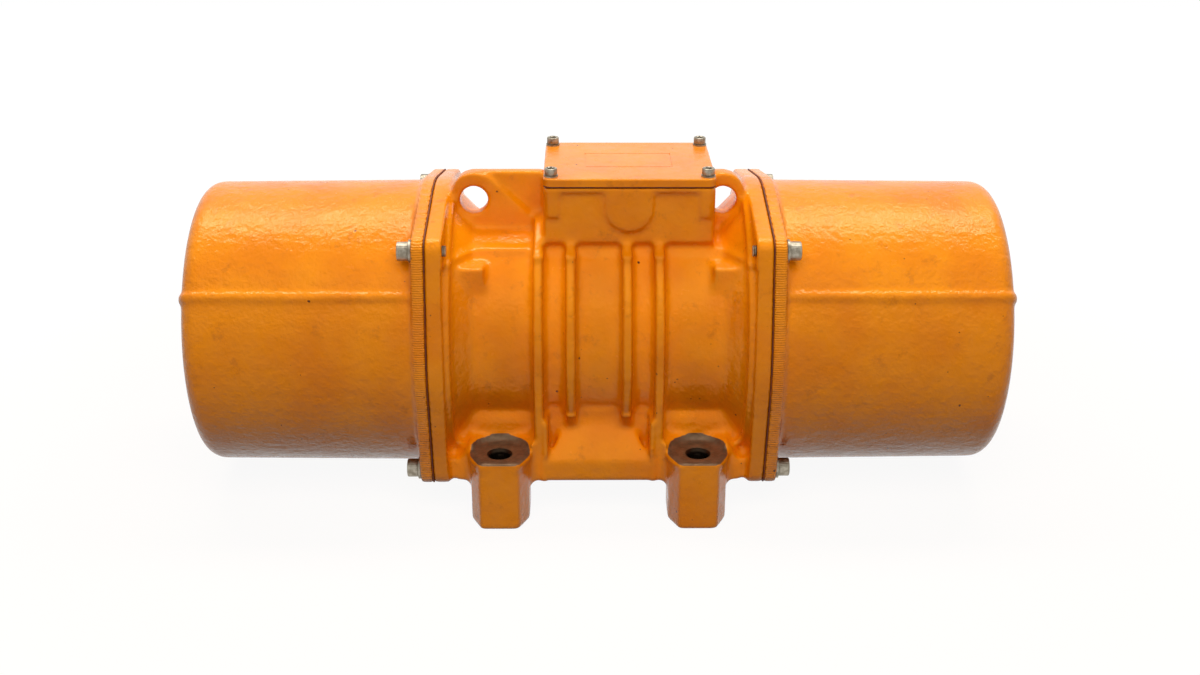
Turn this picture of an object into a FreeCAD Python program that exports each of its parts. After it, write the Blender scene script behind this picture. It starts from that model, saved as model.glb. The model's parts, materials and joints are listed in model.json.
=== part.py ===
"""Vibration motor: a foot-mounted induction motor with eccentric weights on both shaft ends.

Every body is drawn about the shaft: X runs along the shaft, Y to the back and Z up, and the
placement of each body lifts the shaft axis to its height above the feet.
"""
import FreeCAD
import Part
import os
import re

import Sketcher
from FreeCAD import Placement, Rotation, Vector

SIZES = {
    # housing casting: a "level" is above the floor, a "rise" is above the shaft axis
    "axis_height": 116.0,
    "housing_half": 117.6,
    "barrel_radius": 82.0,
    "stator_radius": 75.0,
    "flange_radius": 107.0,
    "flange_thickness": 11.5,
    "shoulder_radius": 103.0,
    "shoulder_thickness": 4.0,
    "neck_radius": 96.0,
    "neck_length": 14.0,
    "ear_offset": 82.0,
    "ear_radius": 10.5,
    "ear_lap": 3.0,
    "rib_radius": 92.0,
    "rib_thickness": 6.6,
    "inner_rib_offset": 19.6,
    "outer_rib_offset": 42.2,
    "rib_foot_reach": 90.0,
    # base and feet
    "base_level": 27.0,
    "slab_level": 57.0,
    "slab_reach": 89.0,
    "slab_half": 91.0,
    "ramp_level": 40.0,
    "shelf_reach": 73.5,
    "shelf_level": 67.0,
    "ledge_reach": 70.0,
    "ledge_level": 75.2,
    "block_half": 42.0,
    "block_reach": 91.0,
    "block_level": 43.0,
    "web_crest_half": 8.0,
    "web_foot_half": 38.5,
    "web_head_half": 24.0,
    "web_head_reach": 69.0,
    "web_side_level": 66.0,
    "web_crest_level": 71.2,
    "foot_pitch_long": 140.0,
    "foot_pitch_wide": 190.0,
    "foot_hole_radius": 8.5,
    "foot_level": 52.0,
    "foot_front": 18.0,
    "foot_front_half": 13.4,
    "foot_shoulder": 2.0,
    "foot_root": 24.0,
    "foot_root_half": 20.8,
    "spotface_radius": 21.0,
    # terminal box
    "box_centre_long": 21.25,
    "box_centre_wide": -2.75,
    "box_length": 119.5,
    "box_width": 98.5,
    "box_corner": 6.0,
    "box_under_rise": 70.0,
    "box_bevel_rise": 81.0,
    "box_bevel_run": 9.5,
    "box_rim_rise": 117.4,
    "box_floor_rise": 89.0,
    "box_wall": 6.0,
    "relief_depth": 2.8,
    "relief_rise": 114.0,
    "column_width": 10.35,
    "column_rise": 96.0,
    "entry_pad_half": 16.3,
    "entry_rise": 101.9,
    "entry_radius": 12.0,
    "lead_hole_radius": 8.0,
    # lifting eyes and side pads
    "eye_inset": 17.7,
    "eye_rise": 99.3,
    "eye_radius": 10.0,
    "eye_crest": 20.0,
    "eye_corner": 15.6,
    "eye_front": 22.0,
    "eye_boss": 4.0,
    "eye_plate": 10.0,
    "eye_plate_gap": 0.6,
    "eye_slope_start": 13.9,
    "eye_slope_head": 14.2,
    "eye_slope_end": 40.2,
    "eye_slope_drop": 11.0,
    "eye_foot_depth": 46.0,
    "pad_inner": 80.0,
    "pad_reach": 68.0,
    "pad_low_rise": 44.0,
    "pad_high_rise": 64.0,
    "pad_root": 45.0,
    # bearing shields
    "shield_radius": 94.0,
    "shield_depth": 14.0,
    "shield_hub_radius": 64.0,
    "shield_inner_radius": 60.0,
    "shield_lip_radius": 40.0,
    "shield_lip": 4.0,
    "shield_screw_circle": 85.0,
    "shield_screw_radius": 3.0,
    "shield_screw_grip": 9.5,
    "cover_screw_circle": 57.0,
    "cover_screw_grip": 12.0,
    "cover_thickness": 5.0,
    "cover_bore": 30.3,
    # roller bearings
    "bearing_start": 92.0,
    "bearing_width": 36.0,
    "bearing_bore": 22.5,
    "inner_race": 29.5,
    "outer_race": 43.5,
    "bearing_outside": 50.0,
    "race_rib_radius": 40.6,
    "roller_length": 24.0,
    "roller_gap": 0.03,
    "roller_side_gap": 0.2,
    "roller_pocket_gap": 0.15,
    "cage_inner": 34.2,
    "cage_outer": 38.8,
    "cage_length": 30.0,
    # stator and rotor
    "core_half": 55.0,
    "stator_bore": 46.0,
    "slot_bottom": 62.0,
    "slot_half_width": 2.2,
    "winding_length": 28.0,
    "winding_inner": 50.0,
    "winding_outer": 70.0,
    "winding_round": 7.0,
    "coil_side_inset": 1.5,
    "air_gap": 0.5,
    "shaft_core_radius": 30.0,
    "shaft_core_half": 60.0,
    "shaft_neck_radius": 27.0,
    "cage_ring_length": 8.0,
    "cage_ring_inner": 34.0,
    "cage_ring_outer": 44.5,
    "seat_gap": 0.04,
    # shaft ends and weights
    "shaft_shoulder": 141.6,
    "weight_seat_radius": 20.0,
    "weight_thickness": 56.0,
    "weight_gap": 0.4,
    "weight_radius": 90.0,
    "weight_drop": 23.0,
    "weight_hub_radius": 38.0,
    "washer_thickness": 4.6,
    "washer_radius": 30.0,
    "nut_thickness": 12.0,
    "nut_corner_radius": 26.6,
    "thread_radius": 15.0,
    "shaft_tip": 3.0,
    "key_half_width": 6.0,
    "key_length": 48.0,
    "key_depth": 5.0,
    "key_height": 8.0,
    "flinger_radius": 38.0,
    "flinger_width": 3.0,
    "ring_radius": 30.0,
    "flinger_clearance": 1.0,
    "slit_half_width": 1.5,
    "clamp_height": 28.0,
    "clamp_screw_radius": 5.0,
    "clamp_head_radius": 8.0,
    "clamp_head_height": 10.0,
    "clamp_well_radius": 8.8,
    "clamp_seat": 13.0,
    "clamp_grip": 30.0,
    "clamp_pitch": 28.0,
    # weight guards
    "gasket_thickness": 0.8,
    "guard_end": 286.6,
    "guard_radius": 104.0,
    "guard_end_radius": 102.7,
    "guard_corner": 12.0,
    "guard_wall": 4.5,
    "guard_flange": 8.9,
    "bead_angle": 60.0,
    "bead_half_width": 2.75,
    "bead_height": 2.0,
    # fasteners
    "thread_gap": 0.05,
    "guard_screw_radius": 4.0,
    "guard_screw_head": 6.5,
    "guard_screw_head_height": 8.0,
    "guard_screw_grip": 25.0,
    "guard_screw_socket": 3.46,
    "guard_washer_radius": 8.0,
    "guard_washer_thickness": 1.6,
    "guard_hole_radius": 4.5,
    "small_head_radius": 5.0,
    "small_head_height": 6.0,
    # lid
    "lid_gasket": 0.8,
    "lid_thickness": 5.4,
    "lid_edge": 1.5,
    "lid_screw_inset_long": 5.4,
    "lid_screw_inset_wide": 7.75,
    "lid_boss_reach": 7.5,
    "lid_screw_radius": 2.5,
    "lid_screw_head": 4.4,
    "lid_screw_head_height": 5.0,
    "lid_screw_grip": 18.0,
    "lid_screw_socket": 2.3,
    "lid_washer_radius": 5.0,
    "lid_washer_thickness": 1.0,
    "lid_hole_radius": 2.75,
    "lid_frame_length": 62.0,
    "lid_frame_width": 36.0,
    "lid_frame_line": 0.8,
    "lid_frame_depth": 0.5,
    # terminal board
    "board_length": 66.0,
    "board_width": 34.0,
    "board_height": 9.0,
    "stud_pitch_long": 22.0,
    "stud_pitch_wide": 18.0,
    "stud_radius": 2.5,
    "stud_sink": 6.0,
    "stud_rise": 13.0,
    "terminal_nut_corner": 4.6,
    "terminal_nut_height": 4.0,
    "link_half_width": 4.0,
    "link_thickness": 1.2,
    "earth_offset_long": 44.0,
    "earth_screw_head": 4.5,
    "earth_screw_head_height": 4.0,
    "earth_screw_grip": 6.0,
    "cut_margin": 4.0,
}

GUARD_SCREWS = 4
SHIELD_SCREWS = 6
COVER_SCREWS = 4
ROLLERS = 13
SLOTS = 24

# stations along the shaft
FLANGE_BACK = "housing_half - flange_thickness"
SHOULDER_BACK = f"({FLANGE_BACK} - shoulder_thickness)"
RECESS = "(housing_half - shield_depth)"
BEARING_END = "(bearing_start + bearing_width)"
COVER_END = f"({BEARING_END} + cover_thickness)"
GUARD_FACE = "(housing_half + gasket_thickness)"
GUARD_BACK = f"({GUARD_FACE} + guard_flange)"
ADJUST_START = "(shaft_shoulder + weight_thickness + weight_gap)"
SEAT_END = f"({ADJUST_START} + weight_thickness + weight_gap)"
NUT_START = f"({SEAT_END} + washer_thickness)"
SHAFT_END = f"({NUT_START} + nut_thickness + shaft_tip)"
ROLLER_PITCH = "((inner_race + outer_race) / 2)"
ROLLER_RADIUS = "((outer_race - inner_race) / 2 - roller_gap)"
BEARING_MIDDLE = "(bearing_start + bearing_width / 2)"
EYE_STATION = f"({FLANGE_BACK} - eye_inset)"

# heights above the shaft axis
LID_BOTTOM = "(box_rim_rise + lid_gasket)"
LID_TOP = f"({LID_BOTTOM} + lid_thickness)"
BOARD_TOP = "(box_floor_rise + board_height)"

WORD = re.compile(r"[a-z_]+")
SIDES = (("left", -1), ("right", 1))

doc = FreeCAD.newDocument("vibration_motor")
sheet = doc.addObject("Spreadsheet::Sheet", "sizes")
parts = []


def fill_sheet():
    """One row for each driving size: its name, its value and the alias that the features read."""
    for row, (name, number) in enumerate(SIZES.items(), start=1):
        sheet.set(f"A{row}", name)
        sheet.set(f"B{row}", str(number))
        sheet.setAlias(f"B{row}", name)
    doc.recompute()


def full(expression):
    """The expression with each size's name read from the sheet."""
    return WORD.sub(lambda word: f"sizes.{word.group()}" if word.group() in SIZES else word.group(), expression)


def value(expression):
    return float(sheet.evalExpression(full(expression)))


def bind(thing, path, expression):
    thing.setExpression(path, full(expression))


def level(height):
    """A height above the floor, measured from the shaft axis instead."""
    return f"({height} - axis_height)"


def across(side, expression):
    return expression if side > 0 else f"-({expression})"


def flip(points, side):
    """The outline as it is for the right end, mirrored for the left end."""
    turned = []
    for point in points:
        arc = (point[2], point[3] * side) if len(point) > 2 else ()
        turned.append((across(side, point[0]), point[1], *arc))
    return turned


# ---- bodies, sketches and features


def new_body(name):
    body = doc.addObject("PartDesign::Body", name)
    body.Label = name
    body.AllowCompound = True
    bind(body, "Placement.Base.z", "axis_height")
    parts.append(body)
    return body


def origin_feature(body, role):
    return next(item for item in body.Origin.OriginFeatures if item.Role == role)


def new_sketch(body, name, plane, x="0", y="0", z="0"):
    """A sketch on one of the body's own planes, moved by x, y in the plane and z along its normal."""
    sketch = body.newObject("Sketcher::SketchObject", name)
    sketch.AttachmentSupport = [(origin_feature(body, plane), "")]
    sketch.MapMode = "FlatFace"
    for axis, shift in (("x", x), ("y", y), ("z", z)):
        if shift != "0":
            bind(sketch, f"AttachmentOffset.Base.{axis}", shift)
    return sketch


def pin(sketch, edge, vertex, x, y):
    """Hold a point of the sketch at x, y, both bound to the sheet."""
    for kind, expression, axis in (("DistanceX", x, -2), ("DistanceY", y, -1)):
        if expression == "0":
            sketch.addConstraint(Sketcher.Constraint("PointOnObject", edge, vertex, axis))
            continue
        rule = Sketcher.Constraint(kind, -1, 1, edge, vertex, value(expression))
        bind(sketch, f"Constraints[{sketch.addConstraint(rule)}]", expression)


def circle(sketch, x, y, radius):
    ring = Part.Circle(Vector(value(x), value(y), 0), Vector(0, 0, 1), value(radius))
    edge = sketch.addGeometry(ring)
    pin(sketch, edge, 3, x, y)
    size = sketch.addConstraint(Sketcher.Constraint("Radius", edge, value(radius)))
    bind(sketch, f"Constraints[{size}]", radius)


def arc_between(start, end, radius, turn):
    """Short arc from start to end, anticlockwise when turn is 1 and clockwise when it is -1."""
    middle = (start + end) / 2
    chord = end - start
    left = Vector(-chord.y, chord.x, 0).normalize()
    rise = max(radius ** 2 - (chord.Length / 2) ** 2, 0) ** 0.5
    centre = middle + left * rise * turn
    crown = centre - left * radius * turn
    return Part.Arc(start, crown, end)


def outline(sketch, points):
    """Closed outline. A point is (x, y), or (x, y, radius, turn) when an arc leads to it."""
    spots = [Vector(value(point[0]), value(point[1]), 0) for point in points]
    ends = []
    for index, point in enumerate(points):
        start = spots[index - 1]
        if len(point) == 2:
            edge = sketch.addGeometry(Part.LineSegment(start, spots[index]))
            ends.append((edge, 1, 2))
            continue
        edge = sketch.addGeometry(arc_between(start, spots[index], value(point[2]), point[3]))
        ends.append((edge, 1, 2) if point[3] > 0 else (edge, 2, 1))
    for index, point in enumerate(points):
        edge, first, last = ends[index]
        before = ends[index - 1]
        sketch.addConstraint(Sketcher.Constraint("Coincident", before[0], before[2], edge, first))
        pin(sketch, edge, last, point[0], point[1])
        if len(point) > 2:
            rule = Sketcher.Constraint("Radius", edge, value(point[2]))
            bind(sketch, f"Constraints[{sketch.addConstraint(rule)}]", point[2])


def extrude(kind, body, name, sketch, length, back=False):
    feature = body.newObject(f"PartDesign::{kind}", name)
    feature.Profile = sketch
    bind(feature, "Length", length)
    feature.Reversed = back
    sketch.Visibility = False
    return feature


def pad(body, name, sketch, length, back=False):
    return extrude("Pad", body, name, sketch, length, back)


def pocket(body, name, sketch, length, back=False):
    """Cut from the sketch against its normal, or along the normal when back is set."""
    return extrude("Pocket", body, name, sketch, length, back)


def spin(kind, body, name, sketch, axis="H_Axis"):
    feature = body.newObject(f"PartDesign::{kind}", name)
    feature.Profile = sketch
    feature.ReferenceAxis = (sketch, [axis])
    feature.Angle = 360
    return feature


def turned(name, points, side=1):
    """A body turned about the shaft from an outline in station and radius."""
    body = new_body(name)
    sketch = new_sketch(body, f"{name}_profile", "XZ_Plane")
    outline(sketch, flip(points, side))
    spin("Revolution", body, f"{name}_turned", sketch)
    return body


def polar(body, name, originals, count):
    pattern = body.newObject("PartDesign::PolarPattern", name)
    pattern.Originals = originals
    pattern.Axis = (origin_feature(body, "X_Axis"), [""])
    pattern.Occurrences = count
    pattern.Angle = 360
    body.Tip = pattern
    return pattern


def mirror(body, name, originals, plane):
    copy = body.newObject("PartDesign::Mirrored", name)
    copy.Originals = originals
    copy.MirrorPlane = (origin_feature(body, plane), [""])
    body.Tip = copy
    return copy


def along_shaft(body, name, side, start, end, draw, cut=False):
    """Pad or pocket between two stations on the shaft, from a sketch that draw() fills in."""
    sketch = new_sketch(body, f"{name}_sketch", "YZ_Plane", z=across(side, start))
    draw(sketch)
    length = f"({end}) - ({start})"
    if cut:
        return pocket(body, name, sketch, length, back=side > 0)
    return pad(body, name, sketch, length, back=side < 0)


def rectangle(x_low, x_high, y_low, y_high):
    return [(x_low, y_low), (x_high, y_low), (x_high, y_high), (x_low, y_high)]


def ring_profile(start, end, inner, outer):
    return rectangle(start, end, inner, outer)


def rounded_rectangle(x, y, length, width, corner):
    """Outline about x, y with a quarter circle at each corner."""
    left, right = f"({x} - {length} / 2)", f"({x} + {length} / 2)"
    front, rear = f"({y} - {width} / 2)", f"({y} + {width} / 2)"
    return [
        (f"{left} + {corner}", front),
        (f"{right} - {corner}", front),
        (right, f"{front} + {corner}", corner, 1),
        (right, f"{rear} - {corner}"),
        (f"{right} - {corner}", rear, corner, 1),
        (f"{left} + {corner}", rear),
        (left, f"{rear} - {corner}", corner, 1),
        (left, f"{front} + {corner}"),
        (f"{left} + {corner}", front, corner, 1),
    ][1:]


def hexagon(x, y, corner):
    """Six corners, the first one on the +x side."""
    half, high = f"{corner} / 2", f"{corner} * sqrt(3) / 2"
    return [
        (f"{x} + {corner}", y),
        (f"{x} + {half}", f"{y} + {high}"),
        (f"{x} - {half}", f"{y} + {high}"),
        (f"{x} - {corner}", y),
        (f"{x} - {half}", f"{y} - {high}"),
        (f"{x} + {half}", f"{y} - {high}"),
    ]


def screw_profile(tip, seat, radius, head_radius, head_height):
    """Half section of a screw whose axis is the x axis, from its tip to the top of its head."""
    return [
        (tip, "0"),
        (tip, radius),
        (seat, radius),
        (seat, head_radius),
        (f"{seat} + {head_height}", head_radius),
        (f"{seat} + {head_height}", "0"),
    ]


# ---- flange outline that the housing and the guards share

EAR_COS = "((flange_radius - ear_radius) / (ear_offset * sqrt(2)))"
EAR_SIN = f"sqrt(1 - {EAR_COS}^2)"
EAR_NEAR = f"(({EAR_COS} + {EAR_SIN}) / sqrt(2))"
EAR_FAR = f"(({EAR_COS} - {EAR_SIN}) / sqrt(2))"


def draw_ear(sketch):
    """One bolt ear: a round nose whose flanks run tangent into the flange circle."""
    inside = "(flange_radius - ear_lap)"
    outline(sketch, [
        (f"flange_radius * {EAR_NEAR}", f"flange_radius * {EAR_FAR}"),
        (f"ear_offset + ear_radius * {EAR_NEAR}", f"ear_offset + ear_radius * {EAR_FAR}"),
        (f"ear_offset + ear_radius * {EAR_FAR}", f"ear_offset + ear_radius * {EAR_NEAR}", "ear_radius", 1),
        (f"flange_radius * {EAR_FAR}", f"flange_radius * {EAR_NEAR}"),
        (f"{inside} * {EAR_FAR}", f"{inside} * {EAR_NEAR}"),
        (f"{inside} * {EAR_NEAR}", f"{inside} * {EAR_FAR}", inside, -1),
    ])


# ---- housing


def draw_foot(sketch, long_side, wide_side):
    """Plan of one foot: a narrow front, flared to the root under the base."""
    points = [
        ("-foot_root_half", "-foot_root"),
        ("foot_root_half", "-foot_root"),
        ("foot_root_half", "foot_shoulder"),
        ("foot_front_half", "foot_front"),
        ("-foot_front_half", "foot_front"),
        ("-foot_root_half", "foot_shoulder"),
    ]
    placed = []
    for x, y in points:
        along = across(long_side, f"foot_pitch_long / 2 + {x}")
        wide = across(wide_side, f"foot_pitch_wide / 2 + {y}")
        placed.append((along, wide))
    outline(sketch, placed)


def housing_box(body):
    """Terminal box block with a bevelled underside and reliefs that leave a round-ended entry pad."""
    plan = new_sketch(body, "box_plan", "XY_Plane", z="box_under_rise")
    outline(plan, box_outline())
    pad(body, "box_block", plan, "box_rim_rise - box_under_rise")
    bevel = new_sketch(body, "box_bevel_sketch", "YZ_Plane", z="box_centre_long - box_length / 2 - cut_margin")
    for side in (-1, 1):
        edge = f"(box_centre_wide + {side} * box_width / 2)"
        outside = f"({edge} + {side} * cut_margin)"
        inside = f"({edge} - {side} * box_bevel_run)"
        outline(bevel, [
            (inside, "box_under_rise"),
            (edge, "box_bevel_rise"),
            (outside, "box_bevel_rise"),
            (outside, "box_under_rise - cut_margin"),
            (inside, "box_under_rise - cut_margin"),
        ])
    pocket(body, "box_bevel", bevel, "box_length + 2 * cut_margin", back=True)
    for name, side in (("front", -1), ("rear", 1)):
        face = f"(box_centre_wide + {side} * box_width / 2)"
        relief = new_sketch(body, f"box_relief_{name}_sketch", "XZ_Plane", z=f"-({face})")
        outline(relief, relief_points())
        pocket(body, f"box_relief_{name}", relief, "relief_depth", back=side > 0)


def box_outline():
    """Plan of the terminal box, its gasket and its lid."""
    return rounded_rectangle("box_centre_long", "box_centre_wide", "box_length", "box_width", "box_corner")


def relief_points():
    """Sunk panel of a box wall, round the entry pad and below the corner columns."""
    middle = "box_centre_long"
    half = "(box_length / 2 - column_width)"
    end = "(box_length / 2 + cut_margin)"
    return [
        (f"{middle} - {half}", "relief_rise"),
        (f"{middle} - entry_pad_half", "relief_rise"),
        (f"{middle} - entry_pad_half", "entry_rise"),
        (middle, "entry_rise - entry_pad_half", "entry_pad_half", 1),
        (f"{middle} + entry_pad_half", "entry_rise", "entry_pad_half", 1),
        (f"{middle} + entry_pad_half", "relief_rise"),
        (f"{middle} + {half}", "relief_rise"),
        (f"{middle} + {half}", "column_rise"),
        (f"{middle} + {end}", "column_rise"),
        (f"{middle} + {end}", "box_under_rise - cut_margin"),
        (f"{middle} - {end}", "box_under_rise - cut_margin"),
        (f"{middle} - {end}", "column_rise"),
        (f"{middle} - {half}", "column_rise"),
    ]


def housing_barrel(body):
    """Barrel with a conical neck, a shoulder and a bolt flange at each end."""
    half = [
        (f"{SHOULDER_BACK} - neck_length", "barrel_radius"),
        (SHOULDER_BACK, "neck_radius"),
        (SHOULDER_BACK, "shoulder_radius"),
        (FLANGE_BACK, "shoulder_radius"),
        (FLANGE_BACK, "flange_radius"),
        ("housing_half", "flange_radius"),
        ("housing_half", "0"),
    ]
    sketch = new_sketch(body, "barrel_profile", "XZ_Plane")
    outline(sketch, half + flip(half, -1)[::-1])
    spin("Revolution", body, "barrel", sketch)
    ears = []
    for name, side in SIDES:
        ears.append(along_shaft(body, f"ear_{name}", side, FLANGE_BACK, "housing_half", draw_ear))
        ears.append(along_shaft(
            body, f"ear_tap_{name}", side, FLANGE_BACK, "housing_half",
            lambda sketch: circle(sketch, "ear_offset", "ear_offset", "guard_screw_radius + thread_gap"), cut=True))
    polar(body, "ears", ears, GUARD_SCREWS)


def draw_inner_rib(sketch):
    circle(sketch, "0", "0", "rib_radius")


def draw_outer_rib(sketch):
    """Round over the barrel, then straight legs down to the base."""
    foot = level("base_level")
    outline(sketch, [
        ("rib_radius", "0"),
        ("0", "rib_radius", "rib_radius", 1),
        ("-rib_radius", "0", "rib_radius", 1),
        ("-rib_foot_reach", foot),
        ("rib_foot_reach", foot),
    ])


def housing_ribs(body):
    for name, side in SIDES:
        for rank, draw in (("inner", draw_inner_rib), ("outer", draw_outer_rib)):
            offset = f"{rank}_rib_offset"
            start, end = f"{offset} - rib_thickness / 2", f"{offset} + rib_thickness / 2"
            along_shaft(body, f"rib_{rank}_{name}", side, start, end, draw)


def draw_base(sketch):
    """Cross-section of the base's core, with the ledge under the barrel."""
    half = [
        ("shelf_reach", level("base_level")),
        ("shelf_reach", level("shelf_level")),
        ("ledge_reach", level("ledge_level")),
    ]
    outline(sketch, half + flip(half, -1)[::-1])


def draw_slab(sketch):
    """Side view of the slab between the feet, which ramps down to the flanges."""
    half = [
        (SHOULDER_BACK, level("base_level")),
        (SHOULDER_BACK, level("ramp_level")),
        ("slab_half", level("slab_level")),
    ]
    outline(sketch, half + flip(half, -1)[::-1])


def housing_base(body):
    along_shaft(body, "base", 1, f"-({SHOULDER_BACK})", SHOULDER_BACK, draw_base)
    slab = new_sketch(body, "slab_side", "XZ_Plane")
    draw_slab(slab)
    pad(body, "slab", slab, "2 * slab_reach").Midplane = True
    block = new_sketch(body, "block_plan", "XY_Plane", z=level("base_level"))
    outline(block, rectangle("-block_half", "block_half", "-block_reach", "block_reach"))
    pad(body, "block", block, "block_level - base_level")
    feet = new_sketch(body, "feet_plan", "XY_Plane", z="-axis_height")
    for long_side in (-1, 1):
        for wide_side in (-1, 1):
            draw_foot(feet, long_side, wide_side)
    pad(body, "feet", feet, "foot_level")
    web = []
    sections = (
        ("block_reach", "web_foot_half", level("block_level"), level("block_level")),
        ("web_head_reach", "web_head_half", level("web_side_level"), level("web_crest_level")),
    )
    for index, (reach, half_width, side_height, crest_height) in enumerate(sections):
        section = new_sketch(body, f"web_section_{index}", "XZ_Plane", z=reach)
        half = [
            (half_width, level("base_level")),
            (half_width, side_height),
            ("web_crest_half", crest_height),
        ]
        outline(section, half + flip(half, -1)[::-1])
        web.append(section)
    loft = body.newObject("PartDesign::AdditiveLoft", "web")
    loft.Profile = web[0]
    loft.Sections = [web[1]]
    loft.Ruled = True
    mirror(body, "web_pair", [loft], "XZ_Plane")


def housing_eyes(body):
    """Lifting eyes: a plate from the flange to the box and a thicker boss round each eye."""
    foot, crest = "eye_foot_depth", "(eye_rise + eye_crest)"
    outer = f"{EYE_STATION} + eye_corner"
    eye_back = "(eye_front - eye_boss - eye_plate)"
    plates = new_sketch(body, "eye_plates_sketch", "XZ_Plane", z=eye_back)
    bosses = new_sketch(body, "eye_bosses_sketch", "XZ_Plane", z="eye_front - eye_boss")
    nose = [
        (outer, foot),
        (outer, "eye_rise + eye_crest - eye_corner"),
        (EYE_STATION, crest, "eye_corner", 1),
    ]
    slope = [
        (f"{EYE_STATION} - eye_slope_start", "eye_rise + eye_slope_head", "eye_crest", 1),
        (f"{EYE_STATION} - eye_slope_end", "eye_rise - eye_slope_drop"),
        (f"{EYE_STATION} - eye_slope_end", foot),
    ]
    for _, side in SIDES:
        box_side = f"({side} * box_centre_long + box_length / 2)"
        clear, inside = f"{box_side} + eye_plate_gap", f"{box_side} - box_wall / 2"
        step = "(box_rim_rise - eye_plate_gap)"
        outline(plates, flip(nose + [(clear, crest), (clear, step), (inside, step), (inside, foot)], side))
        outline(bosses, flip(nose + slope, side))
    pad(body, "eye_plates", plates, "eye_plate")
    pad(body, "eye_bosses", bosses, "eye_boss")


def housing_side_pads(body):
    """Four bosses on the barrel's flanks, close behind the flanges."""
    plan = new_sketch(body, "side_pads_plan", "XY_Plane", z="pad_low_rise")
    for _, side in SIDES:
        for span in (("pad_root", "pad_reach"), ("-pad_reach", "-pad_root")):
            outline(plan, flip(rectangle("pad_inner", FLANGE_BACK, *span), side))
    pad(body, "side_pads", plan, "pad_high_rise - pad_low_rise")


def housing_machining(body):
    """Bores, recesses, tapped holes and seats, cut after the casting is whole."""
    bore = [
        (RECESS, "stator_radius"),
        (RECESS, "shield_radius"),
        ("housing_half + cut_margin", "shield_radius"),
        ("housing_half + cut_margin", "0"),
    ]
    sketch = new_sketch(body, "bore_profile", "XZ_Plane")
    outline(sketch, bore + flip(bore, -1)[::-1])
    spin("Groove", body, "bore", sketch)
    plan = new_sketch(body, "cavity_plan", "XY_Plane", z="box_rim_rise")
    outline(plan, cavity_points())
    pocket(body, "cavity", plan, "box_rim_rise - box_floor_rise")
    lead = new_sketch(body, "lead_hole_sketch", "XY_Plane", z="box_floor_rise")
    circle(lead, "0", "box_centre_wide", "lead_hole_radius")
    pocket(body, "lead_hole", lead, "box_floor_rise - stator_radius + cut_margin")
    entry = new_sketch(body, "entry_sketch", "XZ_Plane", z="-(box_centre_wide + box_width / 2)")
    circle(entry, "box_centre_long", "entry_rise", "entry_radius")
    pocket(body, "entry", entry, "box_wall", back=True)
    eyes = new_sketch(body, "eye_holes_sketch", "XZ_Plane", z="eye_front")
    holes = new_sketch(body, "foot_holes_sketch", "XY_Plane", z=level("foot_level"))
    seats = new_sketch(body, "spotfaces_sketch", "XY_Plane", z=level("foot_level"))
    for side in (-1, 1):
        circle(eyes, across(side, EYE_STATION), "eye_rise", "eye_radius")
        for wide_side in (-1, 1):
            x, y = across(side, "foot_pitch_long / 2"), across(wide_side, "foot_pitch_wide / 2")
            circle(holes, x, y, "foot_hole_radius")
            circle(seats, x, y, "spotface_radius")
    pocket(body, "eye_holes", eyes, "eye_boss + eye_plate")
    pocket(body, "foot_holes", holes, "foot_level + cut_margin")
    pocket(body, "spotfaces", seats, "shelf_level - foot_level", back=True)
    for name, side in SIDES:
        along_shaft(body, f"shield_taps_{name}", side, f"{RECESS} - shield_screw_grip", RECESS,
                    draw_shield_holes, cut=True)
    lid = new_sketch(body, "lid_taps_sketch", "XY_Plane", z="box_rim_rise")
    for x, y in lid_screw_places():
        circle(lid, x, y, "lid_screw_radius + thread_gap")
    pocket(body, "lid_taps", lid, "lid_screw_grip - lid_gasket - lid_thickness + cut_margin")
    earth = new_sketch(body, "earth_tap_sketch", "XY_Plane", z="box_floor_rise")
    circle(earth, "box_centre_long + earth_offset_long", "box_centre_wide", "stud_radius + thread_gap")
    pocket(body, "earth_tap", earth, "earth_screw_grip")


def cavity_points():
    """Inside of the terminal box, stepped in at the corners round the lid screw bosses."""
    long_half, wide_half = "(box_length / 2 - box_wall)", "(box_width / 2 - box_wall)"
    long_step = "(box_length / 2 - lid_screw_inset_long - lid_boss_reach)"
    wide_step = "(box_width / 2 - lid_screw_inset_wide - lid_boss_reach)"
    corner = [(long_half, wide_step), (long_step, wide_step), (long_step, wide_half)]
    points = []
    for sign_x, sign_y in ((1, 1), (-1, 1), (-1, -1), (1, -1)):
        for along, wide in corner[::sign_x * sign_y]:
            points.append((f"box_centre_long + {sign_x} * {along}", f"box_centre_wide + {sign_y} * {wide}"))
    return points


def draw_shield_holes(sketch):
    """The ring of bearing shield screws, one at the top."""
    for index in range(SHIELD_SCREWS):
        angle = f"({index} * 360 / {SHIELD_SCREWS})"
        circle(sketch, f"shield_screw_circle * sin({angle})", f"shield_screw_circle * cos({angle})",
               "shield_screw_radius + thread_gap")


def lid_screw_places():
    for sign_x in (-1, 1):
        for sign_y in (-1, 1):
            yield (f"box_centre_long + {sign_x} * (box_length / 2 - lid_screw_inset_long)",
                   f"box_centre_wide + {sign_y} * (box_width / 2 - lid_screw_inset_wide)")


def make_housing():
    body = new_body("housing")
    housing_box(body)
    housing_barrel(body)
    housing_ribs(body)
    housing_base(body)
    housing_eyes(body)
    housing_side_pads(body)
    housing_machining(body)


# ---- stator


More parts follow.
